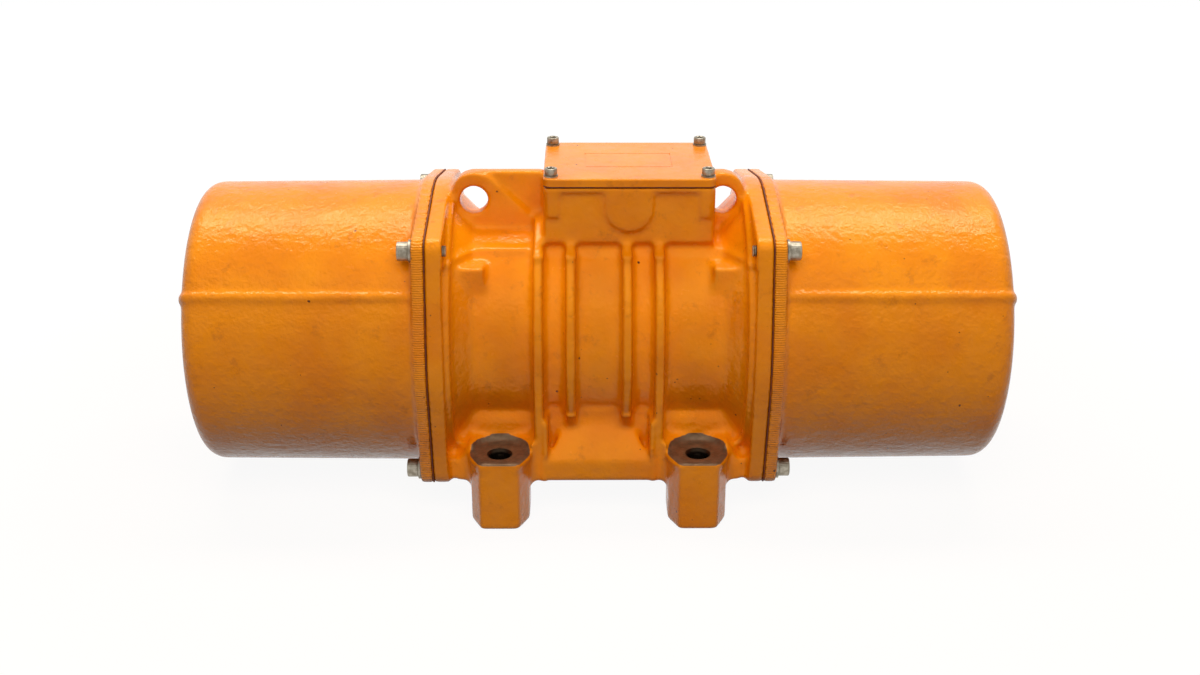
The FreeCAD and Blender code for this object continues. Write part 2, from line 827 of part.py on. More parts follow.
def make_stator():
    profile = ring_profile("-core_half", "core_half", "stator_bore", "stator_radius - seat_gap")
    core = turned("stator_core", profile)
    slot = along_shaft(core, "slot", 1, "-core_half", "core_half", lambda sketch: outline(
        sketch, rectangle("-slot_half_width", "slot_half_width", "0", "slot_bottom")), cut=True)
    polar(core, "slots", [slot], SLOTS)
    windings = new_body("stator_windings")
    sketch = new_sketch(windings, "winding_profile", "XZ_Plane")
    low, high = "core_half + seat_gap", "core_half + winding_length"
    half = [
        (low, "winding_outer"),
        (low, "winding_inner"),
        (f"{high} - winding_round", "winding_inner"),
        (high, "winding_inner + winding_round", "winding_round", 1),
        (high, "winding_outer - winding_round"),
        (f"{high} - winding_round", "winding_outer", "winding_round", 1),
    ]
    for _, side in SIDES:
        outline(sketch, flip(half, side))
    spin("Revolution", windings, "winding_heads", sketch)
    reach = f"({low} + winding_round)"
    bar = along_shaft(windings, "coil_side", 1, f"-{reach}", reach, lambda sketch: outline(
        sketch, rectangle("-slot_half_width + seat_gap", "slot_half_width - seat_gap",
                          "winding_inner + coil_side_inset", "slot_bottom - seat_gap")))
    polar(windings, "coil_sides", [bar], SLOTS)


# ---- end parts: shields, bearings, covers


def draw_hole(circle_radius, radius):
    return lambda sketch: circle(sketch, "0", circle_radius, radius)


def make_shield(tag, side):
    body = turned(f"end_shield_{tag}", [
        (RECESS, "shield_radius - seat_gap"),
        ("housing_half", "shield_radius - seat_gap"),
        ("housing_half", "shield_hub_radius"),
        (BEARING_END, "shield_hub_radius"),
        (BEARING_END, "bearing_outside + seat_gap"),
        ("bearing_start", "bearing_outside + seat_gap"),
        ("bearing_start", "shield_lip_radius"),
        ("bearing_start - shield_lip", "shield_lip_radius"),
        ("bearing_start - shield_lip", "shield_inner_radius"),
        (RECESS, "shield_hub_radius"),
    ], side)
    along_shaft(body, f"shield_holes_{tag}", side, RECESS, "housing_half", draw_shield_holes, cut=True)
    tap = along_shaft(body, f"cover_tap_{tag}", side, f"{BEARING_END} - cover_screw_grip", BEARING_END,
                      draw_hole("cover_screw_circle", "shield_screw_radius + thread_gap"), cut=True)
    polar(body, f"cover_taps_{tag}", [tap], COVER_SCREWS)


def make_screw_ring(name, side, tip, seat, circle_radius, count):
    """Cap screws on a circle about the shaft, heads outwards."""
    body = new_body(name)
    sketch = new_sketch(body, f"{name}_profile", "XZ_Plane", y=circle_radius)
    points = screw_profile(tip, seat, "shield_screw_radius", "small_head_radius", "small_head_height")
    outline(sketch, flip(points, side))
    screw = spin("Revolution", body, f"{name}_first", sketch)
    polar(body, f"{name}_ring", [screw], count)


def make_bearing(tag, side):
    turned(f"bearing_outer_ring_{tag}", [
        ("bearing_start", "bearing_outside"),
        ("bearing_start", "race_rib_radius"),
        (f"{BEARING_MIDDLE} - roller_length / 2 - roller_side_gap", "race_rib_radius"),
        (f"{BEARING_MIDDLE} - roller_length / 2 - roller_side_gap", "outer_race"),
        (f"{BEARING_MIDDLE} + roller_length / 2 + roller_side_gap", "outer_race"),
        (f"{BEARING_MIDDLE} + roller_length / 2 + roller_side_gap", "race_rib_radius"),
        (BEARING_END, "race_rib_radius"),
        (BEARING_END, "bearing_outside"),
    ], side)
    inner = ring_profile("bearing_start", BEARING_END, "bearing_bore + seat_gap", "inner_race")
    turned(f"bearing_inner_ring_{tag}", inner, side)
    rollers = new_body(f"bearing_rollers_{tag}")
    start, end = f"{BEARING_MIDDLE} - roller_length / 2", f"{BEARING_MIDDLE} + roller_length / 2"
    roller = along_shaft(rollers, f"roller_{tag}", side, start, end, draw_hole(ROLLER_PITCH, ROLLER_RADIUS))
    polar(rollers, f"rollers_{tag}", [roller], ROLLERS)
    start, end = f"{BEARING_MIDDLE} - cage_length / 2", f"{BEARING_MIDDLE} + cage_length / 2"
    cage = turned(f"bearing_cage_{tag}", ring_profile(start, end, "cage_inner", "cage_outer"), side)
    start, end = (f"{BEARING_MIDDLE} {sign} roller_length / 2 {sign} roller_pocket_gap" for sign in "-+")
    hole = along_shaft(cage, f"cage_pocket_{tag}", side, start, end,
                       draw_hole(ROLLER_PITCH, f"{ROLLER_RADIUS} + roller_pocket_gap"), cut=True)
    polar(cage, f"cage_pockets_{tag}", [hole], ROLLERS)


def make_cover(tag, side):
    profile = ring_profile(BEARING_END, COVER_END, "cover_bore", "shield_hub_radius")
    cover = turned(f"grease_cover_{tag}", profile, side)
    hole = along_shaft(cover, f"cover_hole_{tag}", side, BEARING_END, COVER_END,
                       draw_hole("cover_screw_circle", "shield_screw_radius + thread_gap"), cut=True)
    polar(cover, f"cover_holes_{tag}", [hole], COVER_SCREWS)


# ---- rotor


def make_shaft():
    """Stepped shaft, thick under the rotor core, with a threaded stud at each end."""
    steps = [
        ("shaft_core_half", "shaft_core_radius"),
        ("shaft_core_half", "shaft_neck_radius"),
        ("bearing_start", "shaft_neck_radius"),
        ("bearing_start", "bearing_bore"),
        ("shaft_shoulder", "bearing_bore"),
        ("shaft_shoulder", "weight_seat_radius"),
        (SEAT_END, "weight_seat_radius"),
        (SEAT_END, "thread_radius"),
        (SHAFT_END, "thread_radius"),
        (SHAFT_END, "0"),
    ]
    body = new_body("shaft")
    sketch = new_sketch(body, "shaft_profile", "XZ_Plane")
    outline(sketch, steps + flip(steps, -1)[::-1])
    spin("Revolution", body, "shaft_turned", sketch)
    ways = new_sketch(body, "keyway_sketch", "XY_Plane", z="weight_seat_radius + cut_margin")
    for _, side in SIDES:
        outline(ways, flip(rectangle(*key_span(), "-key_half_width", "key_half_width"), side))
    pocket(body, "keyways", ways, "key_depth + cut_margin")


def key_span():
    """Start and end of a key, in the middle of the fixed weight."""
    middle = "shaft_shoulder + weight_thickness / 2"
    return f"({middle} - key_length / 2)", f"({middle} + key_length / 2)"


def make_rotor_core():
    bore = "shaft_core_radius + seat_gap"
    turned("rotor_core", ring_profile("-core_half", "core_half", bore, "stator_bore - air_gap"))
    rings = new_body("rotor_cage_rings")
    sketch = new_sketch(rings, "cage_ring_profile", "XZ_Plane")
    for _, side in SIDES:
        points = ring_profile("core_half", "core_half + cage_ring_length", "cage_ring_inner", "cage_ring_outer")
        outline(sketch, flip(points, side))
    spin("Revolution", rings, "cage_rings", sketch)


def draw_weight(sketch):
    """Heavy lobe below the shaft, with straight flanks up to a round hub."""
    lobe_half = "sqrt(weight_radius^2 - weight_drop^2)"
    outline(sketch, [
        ("weight_hub_radius", "0"),
        ("0", "weight_hub_radius", "weight_hub_radius", 1),
        ("-weight_hub_radius", "0", "weight_hub_radius", 1),
        (f"-{lobe_half}", "-weight_drop"),
        ("0", "-weight_radius", "weight_radius", 1),
        (lobe_half, "-weight_drop", "weight_radius", 1),
    ])


def make_fixed_weight(tag, side):
    body = new_body(f"fixed_weight_{tag}")
    start, end = "shaft_shoulder", "shaft_shoulder + weight_thickness"
    along_shaft(body, f"fixed_lobe_{tag}", side, start, end, draw_weight)
    along_shaft(body, f"fixed_bore_{tag}", side, start, end,
                draw_hole("0", "weight_seat_radius + seat_gap"), cut=True)
    top = "weight_seat_radius - key_depth + key_height + seat_gap"
    along_shaft(body, f"fixed_keyway_{tag}", side, start, end, lambda sketch: outline(sketch, rectangle(
        "-key_half_width - seat_gap", "key_half_width + seat_gap", "0", top)), cut=True)
    key = new_body(f"shaft_key_{tag}")
    plan = new_sketch(key, f"key_plan_{tag}", "XY_Plane", z="weight_seat_radius - key_depth")
    outline(plan, flip(rectangle(*key_span(), "-key_half_width", "key_half_width"), side))
    pad(key, f"key_{tag}", plan, "key_height")


def clamp_places():
    middle = f"({ADJUST_START} + weight_thickness / 2)"
    for sign in (-1, 1):
        yield f"{middle} + {sign} * clamp_pitch / 2"


def make_adjustable_weight(tag, side):
    """The turnable weight: a slit hub that two cross screws clamp on the shaft."""
    body = new_body(f"adjustable_weight_{tag}")
    start, end = ADJUST_START, f"{ADJUST_START} + weight_thickness"
    along_shaft(body, f"turn_lobe_{tag}", side, start, end, draw_weight)
    along_shaft(body, f"turn_bore_{tag}", side, start, end,
                draw_hole("0", "weight_seat_radius + seat_gap"), cut=True)
    along_shaft(body, f"slit_{tag}", side, start, end, lambda sketch: outline(sketch, rectangle(
        "-slit_half_width", "slit_half_width",
        "weight_seat_radius / 2", "weight_hub_radius + cut_margin")), cut=True)
    wells = new_sketch(body, f"clamp_wells_{tag}_sketch", "XZ_Plane", z="-clamp_seat")
    bores = new_sketch(body, f"clamp_bores_{tag}_sketch", "XZ_Plane", z="-clamp_seat")
    for place in clamp_places():
        circle(wells, across(side, place), "clamp_height", "clamp_well_radius")
        circle(bores, across(side, place), "clamp_height", "clamp_screw_radius + thread_gap")
    pocket(body, f"clamp_wells_{tag}", wells, "weight_hub_radius")
    pocket(body, f"clamp_bores_{tag}", bores, "clamp_seat + weight_hub_radius", back=True)
    screws = new_body(f"clamp_screws_{tag}")
    for index, place in enumerate(clamp_places()):
        sketch = new_sketch(screws, f"clamp_screw_{tag}_{index}_profile", "XY_Plane",
                            x=across(side, place), z="clamp_height")
        section = screw_profile("clamp_seat - clamp_grip", "clamp_seat", "clamp_screw_radius",
                                "clamp_head_radius", "clamp_head_height")
        outline(sketch, [(radius, station) for station, radius in section][::-1])
        spin("Revolution", screws, f"clamp_screw_{tag}_{index}", sketch, "V_Axis")


def make_shaft_end(tag, side):
    turned(f"flinger_ring_{tag}", [
        (BEARING_END, "bearing_bore + seat_gap"),
        (BEARING_END, "ring_radius"),
        (f"{COVER_END} + flinger_clearance", "ring_radius"),
        (f"{COVER_END} + flinger_clearance", "flinger_radius"),
        (f"{COVER_END} + flinger_clearance + flinger_width", "flinger_radius"),
        (f"{COVER_END} + flinger_clearance + flinger_width", "ring_radius"),
        ("shaft_shoulder", "ring_radius"),
        ("shaft_shoulder", "bearing_bore + seat_gap"),
    ], side)
    washer = ring_profile(SEAT_END, NUT_START, "thread_radius + thread_gap", "washer_radius")
    turned(f"end_washer_{tag}", washer, side)
    nut = new_body(f"shaft_nut_{tag}")
    end = f"{NUT_START} + nut_thickness"
    along_shaft(nut, f"nut_block_{tag}", side, NUT_START, end,
                lambda sketch: outline(sketch, hexagon("0", "0", "nut_corner_radius")))
    along_shaft(nut, f"nut_bore_{tag}", side, NUT_START, end,
                draw_hole("0", "thread_radius + thread_gap"), cut=True)


# ---- weight guards


def make_guard(tag, side):
    """Drum cover: drafted wall, round end corner, bolt flange and the raised parting bead."""
    corner_end = "guard_end_radius - guard_corner"
    body = turned(f"weight_guard_{tag}", [
        (GUARD_FACE, "guard_radius - guard_wall"),
        (GUARD_FACE, "flange_radius"),
        (GUARD_BACK, "flange_radius"),
        (GUARD_BACK, "guard_radius"),
        ("guard_end - guard_corner", "guard_end_radius"),
        ("guard_end", corner_end, "guard_corner", -1),
        ("guard_end", "0"),
        ("guard_end - guard_wall", "0"),
        ("guard_end - guard_wall", corner_end),
        ("guard_end - guard_corner", "guard_end_radius - guard_wall", "guard_corner - guard_wall", 1),
    ], side)
    ear = along_shaft(body, f"guard_ear_{tag}", side, GUARD_FACE, GUARD_BACK, draw_ear)
    polar(body, f"guard_ears_{tag}", [ear], GUARD_SCREWS)
    for index, turn in enumerate(("bead_angle", "bead_angle + 180")):
        bead = new_sketch(body, f"bead_{tag}_{index}_sketch", "XZ_Plane")
        bead.AttachmentOffset = Placement(Vector(), Rotation(Vector(1, 0, 0), 1))
        bind(bead, "AttachmentOffset.Rotation.Angle", turn)
        outline(bead, flip(bead_points(), side))
        strip = pad(body, f"bead_{tag}_{index}", bead, "2 * bead_half_width")
        strip.Midplane = True
    hole = along_shaft(body, f"guard_hole_{tag}", side, GUARD_FACE, GUARD_BACK,
                       lambda sketch: circle(sketch, "ear_offset", "ear_offset", "guard_hole_radius"), cut=True)
    polar(body, f"guard_holes_{tag}", [hole], GUARD_SCREWS)


def bead_points():
    """Strip over the drum wall, round the corner and in to the middle of the end."""
    rise, sink = "bead_height", "guard_wall / 2"
    corner_end = "guard_end_radius - guard_corner"
    return [
        (GUARD_BACK, f"guard_radius - {sink}"),
        (GUARD_BACK, f"guard_radius + {rise}"),
        ("guard_end - guard_corner", f"guard_end_radius + {rise}"),
        (f"guard_end + {rise}", corner_end, f"guard_corner + {rise}", -1),
        (f"guard_end + {rise}", "0"),
        (f"guard_end - {sink}", "0"),
        (f"guard_end - {sink}", corner_end),
        ("guard_end - guard_corner", f"guard_end_radius - {sink}", f"guard_corner - {sink}", 1),
    ]


def make_guard_gasket(tag, side):
    profile = ring_profile("housing_half", GUARD_FACE, "guard_radius - guard_wall", "flange_radius")
    body = turned(f"guard_gasket_{tag}", profile, side)
    ear = along_shaft(body, f"gasket_ear_{tag}", side, "housing_half", GUARD_FACE, draw_ear)
    polar(body, f"gasket_ears_{tag}", [ear], GUARD_SCREWS)
    hole = along_shaft(body, f"gasket_hole_{tag}", side, "housing_half", GUARD_FACE,
                       lambda sketch: circle(sketch, "ear_offset", "ear_offset", "guard_hole_radius"), cut=True)
    polar(body, f"gasket_holes_{tag}", [hole], GUARD_SCREWS)


def make_guard_screws(tag, side):
    """Socket cap screws with plain washers in the four ears."""
    washers = new_body(f"guard_washers_{tag}")
    seat = f"({GUARD_BACK} + guard_washer_thickness)"
    sketch = new_sketch(washers, f"guard_washer_{tag}_profile", "XZ_Plane", y="ear_offset", z="-ear_offset")
    points = ring_profile(GUARD_BACK, seat, "guard_screw_radius + thread_gap", "guard_washer_radius")
    outline(sketch, flip(points, side))
    washer = spin("Revolution", washers, f"guard_washer_{tag}", sketch)
    polar(washers, f"guard_washer_ring_{tag}", [washer], GUARD_SCREWS)
    screws = new_body(f"guard_screws_{tag}")
    sketch = new_sketch(screws, f"guard_screw_{tag}_profile", "XZ_Plane", y="ear_offset", z="-ear_offset")
    points = screw_profile(f"{seat} - guard_screw_grip", seat, "guard_screw_radius",
                           "guard_screw_head", "guard_screw_head_height")
    outline(sketch, flip(points, side))
    screw = spin("Revolution", screws, f"guard_screw_{tag}", sketch)
    top = f"{seat} + guard_screw_head_height"
    recess = hexagon("ear_offset", "ear_offset", "guard_screw_socket")
    socket = along_shaft(screws, f"guard_socket_{tag}", side, f"{top} - guard_screw_head_height / 2", top,
                         lambda sketch: outline(sketch, recess), cut=True)
    polar(screws, f"guard_screw_ring_{tag}", [screw, socket], GUARD_SCREWS)


# ---- lid and terminal board


def plate_on_box(name, bottom, thickness):
    body = new_body(name)
    plan = new_sketch(body, f"{name}_plan", "XY_Plane", z=bottom)
    outline(plan, box_outline())
    pad(body, f"{name}_plate", plan, thickness)
    return body


def round_top(body, name, radius):
    """Round the edges of the body's top face."""
    doc.recompute()
    shape = body.Shape
    top = shape.BoundBox.ZMax
    rims = [f"Edge{index}" for index, edge in enumerate(shape.Edges, start=1) if abs(edge.BoundBox.ZMin - top) < 0.01]
    base = body.Tip
    edges = body.newObject("PartDesign::Fillet", name)
    edges.Base = (base, rims)
    bind(edges, "Radius", radius)


def make_lid():
    lid = plate_on_box("terminal_lid", LID_BOTTOM, "lid_thickness")
    round_top(lid, "lid_edges", "lid_edge")
    holes = new_sketch(lid, "lid_holes_sketch", "XY_Plane", z=LID_TOP)
    for x, y in lid_screw_places():
        circle(holes, x, y, "lid_hole_radius")
    pocket(lid, "lid_holes", holes, "lid_thickness")
    frame = new_sketch(lid, "lid_frame_sketch", "XY_Plane", z=LID_TOP)
    for inset in ("0", "lid_frame_line"):
        long_half, wide_half = f"(lid_frame_length / 2 - {inset})", f"(lid_frame_width / 2 - {inset})"
        outline(frame, rectangle(
            f"box_centre_long - {long_half}", f"box_centre_long + {long_half}",
            f"box_centre_wide - {wide_half}", f"box_centre_wide + {wide_half}"))
    pocket(lid, "lid_frame", frame, "lid_frame_depth")
    gasket = plate_on_box("terminal_gasket", "box_rim_rise", "lid_gasket")
    opening = new_sketch(gasket, "gasket_opening_sketch", "XY_Plane", z=LID_BOTTOM)
    outline(opening, cavity_points())
    for x, y in lid_screw_places():
        circle(opening, x, y, "lid_hole_radius")
    pocket(gasket, "gasket_opening", opening, "lid_gasket")


def make_lid_screws():
    washers = new_body("lid_washers")
    plan = new_sketch(washers, "lid_washers_plan", "XY_Plane", z=LID_TOP)
    screws = new_body("lid_screws")
    seat = f"({LID_TOP} + lid_washer_thickness)"
    section = screw_profile(f"{seat} - lid_screw_grip", seat, "lid_screw_radius",
                            "lid_screw_head", "lid_screw_head_height")
    sockets = []
    for index, (x, y) in enumerate(lid_screw_places()):
        circle(plan, x, y, "lid_washer_radius")
        circle(plan, x, y, "lid_screw_radius + thread_gap")
        sketch = new_sketch(screws, f"lid_screw_{index}_profile", "XZ_Plane", x=x, z=f"-({y})")
        outline(sketch, [(radius, station) for station, radius in section][::-1])
        spin("Revolution", screws, f"lid_screw_{index}", sketch, "V_Axis")
        sockets.append((x, y))
    pad(washers, "lid_washer_discs", plan, "lid_washer_thickness")
    plan = new_sketch(screws, "lid_sockets_plan", "XY_Plane", z=f"{seat} + lid_screw_head_height")
    for x, y in sockets:
        outline(plan, hexagon(x, y, "lid_screw_socket"))
    pocket(screws, "lid_sockets", plan, "lid_screw_head_height / 2")


def stud_places():
    for column in (-1, 0, 1):
        for row in (-1, 1):
            yield (f"box_centre_long + {column} * stud_pitch_long",
                   f"box_centre_wide + {row} * stud_pitch_wide / 2")


def make_terminal_board():
    """Board with six studs, their nuts and the three links that join them in pairs."""
    board = new_body("terminal_board")
    plan = new_sketch(board, "board_plan", "XY_Plane", z="box_floor_rise")
    outline(plan, rectangle(
        "box_centre_long - board_length / 2", "box_centre_long + board_length / 2",
        "box_centre_wide - board_width / 2", "box_centre_wide + board_width / 2"))
    pad(board, "board_block", plan, "board_height")
    holes = new_sketch(board, "stud_holes_sketch", "XY_Plane", z=BOARD_TOP)
    studs = new_body("terminal_studs")
    stud_plan = new_sketch(studs, "stud_plan", "XY_Plane", z=f"{BOARD_TOP} - stud_sink")
    nuts = new_body("terminal_nuts")
    nut_plan = new_sketch(nuts, "nut_plan", "XY_Plane", z=f"{BOARD_TOP} + link_thickness")
    links = new_body("terminal_links")
    link_plan = new_sketch(links, "link_plan", "XY_Plane", z=BOARD_TOP)
    for column in (-1, 0, 1):
        middle = f"(box_centre_long + {column} * stud_pitch_long)"
        reach = "(stud_pitch_wide / 2 + link_half_width)"
        outline(link_plan, rectangle(
            f"{middle} - link_half_width", f"{middle} + link_half_width",
            f"box_centre_wide - {reach}", f"box_centre_wide + {reach}"))
    for x, y in stud_places():
        circle(holes, x, y, "stud_radius + thread_gap")
        circle(stud_plan, x, y, "stud_radius")
        outline(nut_plan, hexagon(x, y, "terminal_nut_corner"))
        circle(nut_plan, x, y, "stud_radius + thread_gap")
        circle(link_plan, x, y, "stud_radius + thread_gap")
    pocket(board, "stud_holes", holes, "stud_sink")
    pad(studs, "studs", stud_plan, "stud_sink + stud_rise")
    pad(nuts, "nuts", nut_plan, "terminal_nut_height")
    pad(links, "links", link_plan, "link_thickness")
    earth = new_body("earth_screw")
    sketch = new_sketch(earth, "earth_screw_profile", "XZ_Plane",
                        x="box_centre_long + earth_offset_long", z="-box_centre_wide")
    section = screw_profile("box_floor_rise - earth_screw_grip", "box_floor_rise", "stud_radius",
                            "earth_screw_head", "earth_screw_head_height")
    outline(sketch, [(radius, station) for station, radius in section][::-1])
    spin("Revolution", earth, "earth_screw_turned", sketch, "V_Axis")


def build():
    fill_sheet()
    make_housing()
    make_stator()
    make_shaft()
    make_rotor_core()
    for tag, side in SIDES:
        make_shield(tag, side)
        make_screw_ring(f"shield_screws_{tag}", side, f"{RECESS} - shield_screw_grip", "housing_half",
                        "shield_screw_circle", SHIELD_SCREWS)
        make_bearing(tag, side)
        make_cover(tag, side)
        make_screw_ring(f"cover_screws_{tag}", side, f"{BEARING_END} - cover_screw_grip", COVER_END,
                        "cover_screw_circle", COVER_SCREWS)
        make_shaft_end(tag, side)
        make_fixed_weight(tag, side)
        make_adjustable_weight(tag, side)
        make_guard(tag, side)
        make_guard_gasket(tag, side)
        make_guard_screws(tag, side)
    make_lid()
    make_lid_screws()
    make_terminal_board()
    doc.recompute()


def check_and_export():
    """Stop on any failed object or invalid shape, then write one STEP file for each sub-part."""
    failed = [item.Name for item in doc.Objects if {"Invalid", "Error"} & set(item.State)]
    if failed:
        raise RuntimeError(f"failed objects: {failed}")
    for body in parts:
        if body.Shape.isNull() or not body.Shape.isValid() or not body.Shape.Solids:
            raise RuntimeError(f"bad shape: {body.Label}")
    os.makedirs("parts", exist_ok=True)
    for body in parts:
        body.Shape.exportStep(f"parts/{body.Label}.step")


build()
check_and_export()
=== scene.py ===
"""Looks of a foot-mounted vibration motor, dressed over its fixed frame.

The housing and the guards are softened copies of the frame's solids, so that every corner gets the
fillet that a sand mould leaves. The screws that show are modelled anew, and everything else keeps
its solid and gets the finish of the real part. Lengths are in metres, and the shaft runs along X.
"""
import json
import math

import bmesh
import bpy
import numpy as np
from mathutils import Matrix, Vector


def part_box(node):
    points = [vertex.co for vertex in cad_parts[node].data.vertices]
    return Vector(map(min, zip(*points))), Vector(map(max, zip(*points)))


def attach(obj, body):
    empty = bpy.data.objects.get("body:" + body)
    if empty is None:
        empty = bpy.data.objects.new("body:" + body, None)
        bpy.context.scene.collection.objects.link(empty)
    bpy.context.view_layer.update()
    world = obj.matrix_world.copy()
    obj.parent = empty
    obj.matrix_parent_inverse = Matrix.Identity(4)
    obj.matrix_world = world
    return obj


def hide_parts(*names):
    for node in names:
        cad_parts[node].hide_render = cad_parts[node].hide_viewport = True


bl_info = {
    "name": "Vibration motor",
    "version": (1, 0, 0),
    "blender": (4, 5, 0),
    "location": "View3D > Sidebar > Motor",
    "description": "Castings, fasteners and finishes of a foot-mounted vibration motor",
    "category": "Object",
}

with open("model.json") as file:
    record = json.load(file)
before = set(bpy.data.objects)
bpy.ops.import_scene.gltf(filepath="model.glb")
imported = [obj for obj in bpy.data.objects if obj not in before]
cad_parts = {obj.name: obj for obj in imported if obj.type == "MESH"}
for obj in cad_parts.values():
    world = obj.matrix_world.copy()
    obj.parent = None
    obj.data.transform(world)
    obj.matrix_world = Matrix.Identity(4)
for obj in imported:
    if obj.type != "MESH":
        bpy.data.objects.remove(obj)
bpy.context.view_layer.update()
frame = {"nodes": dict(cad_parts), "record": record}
NODES = frame["nodes"]
MOUNTS = {mount["name"]: mount for mount in frame["record"]["mounts"]}
SIDES = ("left", "right")
OUTWARD = {"left": -1.0, "right": 1.0}
MM = 0.001
SHAFT_AXIS = (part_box("shaft")[0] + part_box("shaft")[1]) / 2
JOINT_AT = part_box("housing")[1].x                           # the housing's joint face, from its middle
FEET_BOLTS = MOUNTS["feet_bolts"]["dims"]
BOLT_ALONG = FEET_BOLTS["spacing_x_mm"] / 2 * MM
BOLT_ACROSS = FEET_BOLTS["spacing_y_mm"] / 2 * MM
BOLT_HOLE = FEET_BOLTS["hole_r_mm"] * MM
FOOT_SEAT = 2 * MOUNTS["feet_bolts"]["pos_m"][2]            # the holes' middle is half as high
SEAT_RADIUS = 21.0 * MM
BOX_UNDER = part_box("terminal_gasket")[0].z - 47.0 * MM      # underside of the terminal box


# ---------------------------------------------------------------- colour and shader helpers


def linear(hex_colour):
    """A colour written as sRGB hex, turned to the linear values that shaders take."""
    channels = [int(hex_colour[place:place + 2], 16) / 255 for place in (1, 3, 5)]
    return tuple(c / 12.92 if c <= 0.04045 else ((c + 0.055) / 1.055) ** 2.4 for c in channels)


def add(tree, kind, fields=None, **inputs):
    """Adds a shader node. Fields are its settings; inputs are values or sockets to link.

    An input's name has _ for each space, and in_3 means the input at place 3."""
    made = tree.nodes.new(kind)
    for name, value in (fields or {}).items():
        setattr(made, name, value)
    for name, value in inputs.items():
        place = int(name[3:]) if name.startswith("in_") else name.replace("_", " ")
        if isinstance(value, bpy.types.NodeSocket):
            tree.links.new(value, made.inputs[place])
        elif isinstance(value, tuple) and len(value) == 3 and made.inputs[place].type == "RGBA":
            made.inputs[place].default_value = (*value, 1.0)
        else:
            made.inputs[place].default_value = value
    return made


def new_finish(name, **values):
    """An empty material with its main shader: (material, node tree, shader, object place)."""
    material = bpy.data.materials.new(name)
    material.use_nodes = True
    tree = material.node_tree
    tree.nodes.clear()
    shader = add(tree, "ShaderNodeBsdfPrincipled", **values)
    add(tree, "ShaderNodeOutputMaterial", Surface=shader.outputs["BSDF"])
    place = add(tree, "ShaderNodeTexCoord").outputs["Object"]
    return material, tree, shader, place


def noise(tree, place, size, detail=2.0, rough=0.5):
    """A cloudy pattern whose lumps are about size across."""
    made = add(tree, "ShaderNodeTexNoise", Vector=place, Scale=1 / size, Detail=detail, Roughness=rough)
    return made.outputs["Fac"]


def spread(tree, value, low, high, to_low=0.0, to_high=1.0):
    """Maps low..high of a pattern to to_low..to_high, and holds the ends."""
    made = add(tree, "ShaderNodeMapRange", {"interpolation_type": "SMOOTHSTEP"}, Value=value,
               From_Min=low, From_Max=high, To_Min=to_low, To_Max=to_high)
    return made.outputs["Result"]


def sums(tree, operation, first, second=0.0, third=0.0):
    """One arithmetic step on values or sockets."""
    made = add(tree, "ShaderNodeMath", {"operation": operation}, in_0=first, in_1=second, in_2=third)
    return made.outputs["Value"]


def blend_colours(tree, share, below, above):
    """The colour below where share is 0 and the colour above where it is 1."""
    made = add(tree, "ShaderNodeMix", {"data_type": "RGBA"}, in_0=share, in_6=below, in_7=above)
    return made.outputs[2]


def waves(tree, place, spacing, fields, distortion=0.0, detail=2.0):
    """Stripes that far apart, 0 to 1. The texture's own stripes are tau / 20 apart at scale 1."""
    made = add(tree, "ShaderNodeTexWave", fields, Vector=place, Scale=math.tau / spacing / 20,
               Distortion=distortion, Detail=detail)
    return made.outputs["Fac"]


def relief(tree, height, depth, under=None):
    """A bump of that depth in metres from a 0 to 1 height, over the bump under it."""
    made = add(tree, "ShaderNodeBump", Height=height, Distance=depth, Strength=1.0)
    if under is not None:
        tree.links.new(under, made.inputs["Normal"])
    return made.outputs["Normal"]


def feed(tree, shader, **sockets):
    """Links patterns to the shader's inputs."""
    for name, socket in sockets.items():
        tree.links.new(socket, shader.inputs[name.replace("_", " ")])


# ---------------------------------------------------------------- sizes and colours to change


class CastingSizes(bpy.types.PropertyGroup):
    """How soft the castings are, and their paint."""
    grid: bpy.props.FloatProperty(
        name="Surface grid", description="Spacing of the softened surface's points",
        default=1.25 * MM, unit="LENGTH", precision=5)
    fillet: bpy.props.FloatProperty(
        name="Housing fillet", description="Radius in the inner corners of the housing",
        default=4.0 * MM, unit="LENGTH", precision=5)
    guard_fillet: bpy.props.FloatProperty(
        name="Guard fillet", description="Radius in the inner corners of the guards",
        default=2.0 * MM, unit="LENGTH", precision=5)
    softening: bpy.props.IntProperty(
        name="Edge softening", description="Smoothing passes that round the outer edges",
        default=4, min=0)
    enamel: bpy.props.FloatVectorProperty(
        name="Enamel", description="Colour of the enamel in full light", subtype="COLOR",
        default=linear("#F09006"))
    enamel_deep: bpy.props.FloatVectorProperty(
        name="Enamel, thick", description="Colour where the enamel lies thick", subtype="COLOR",
        default=linear("#D87002"))


class FastenerSizes(bpy.types.PropertyGroup):
    """Shape of the socket screws."""
    flutes: bpy.props.IntProperty(
        name="Knurl ridges", description="Ridges round a screw's head", default=24, min=6)
    flute_depth: bpy.props.FloatProperty(
        name="Knurl depth", description="Depth of the grooves between the ridges",
        default=0.18 * MM, unit="LENGTH", precision=5)
    guard_head: bpy.props.FloatProperty(
        name="Guard screw head", description="Radius of an M8 screw's head",
        default=6.5 * MM, unit="LENGTH", precision=5)
    lid_head: bpy.props.FloatProperty(
        name="Lid screw head", description="Radius of an M5 screw's head",
        default=4.4 * MM, unit="LENGTH", precision=5)
    rim: bpy.props.FloatProperty(
        name="Head chamfer", description="Chamfer round the head's top",
        default=0.7 * MM, unit="LENGTH", precision=5)
    thread_depth: bpy.props.FloatProperty(
        name="Thread depth", description="Depth of the thread's grooves",
        default=0.5 * MM, unit="LENGTH", precision=5)


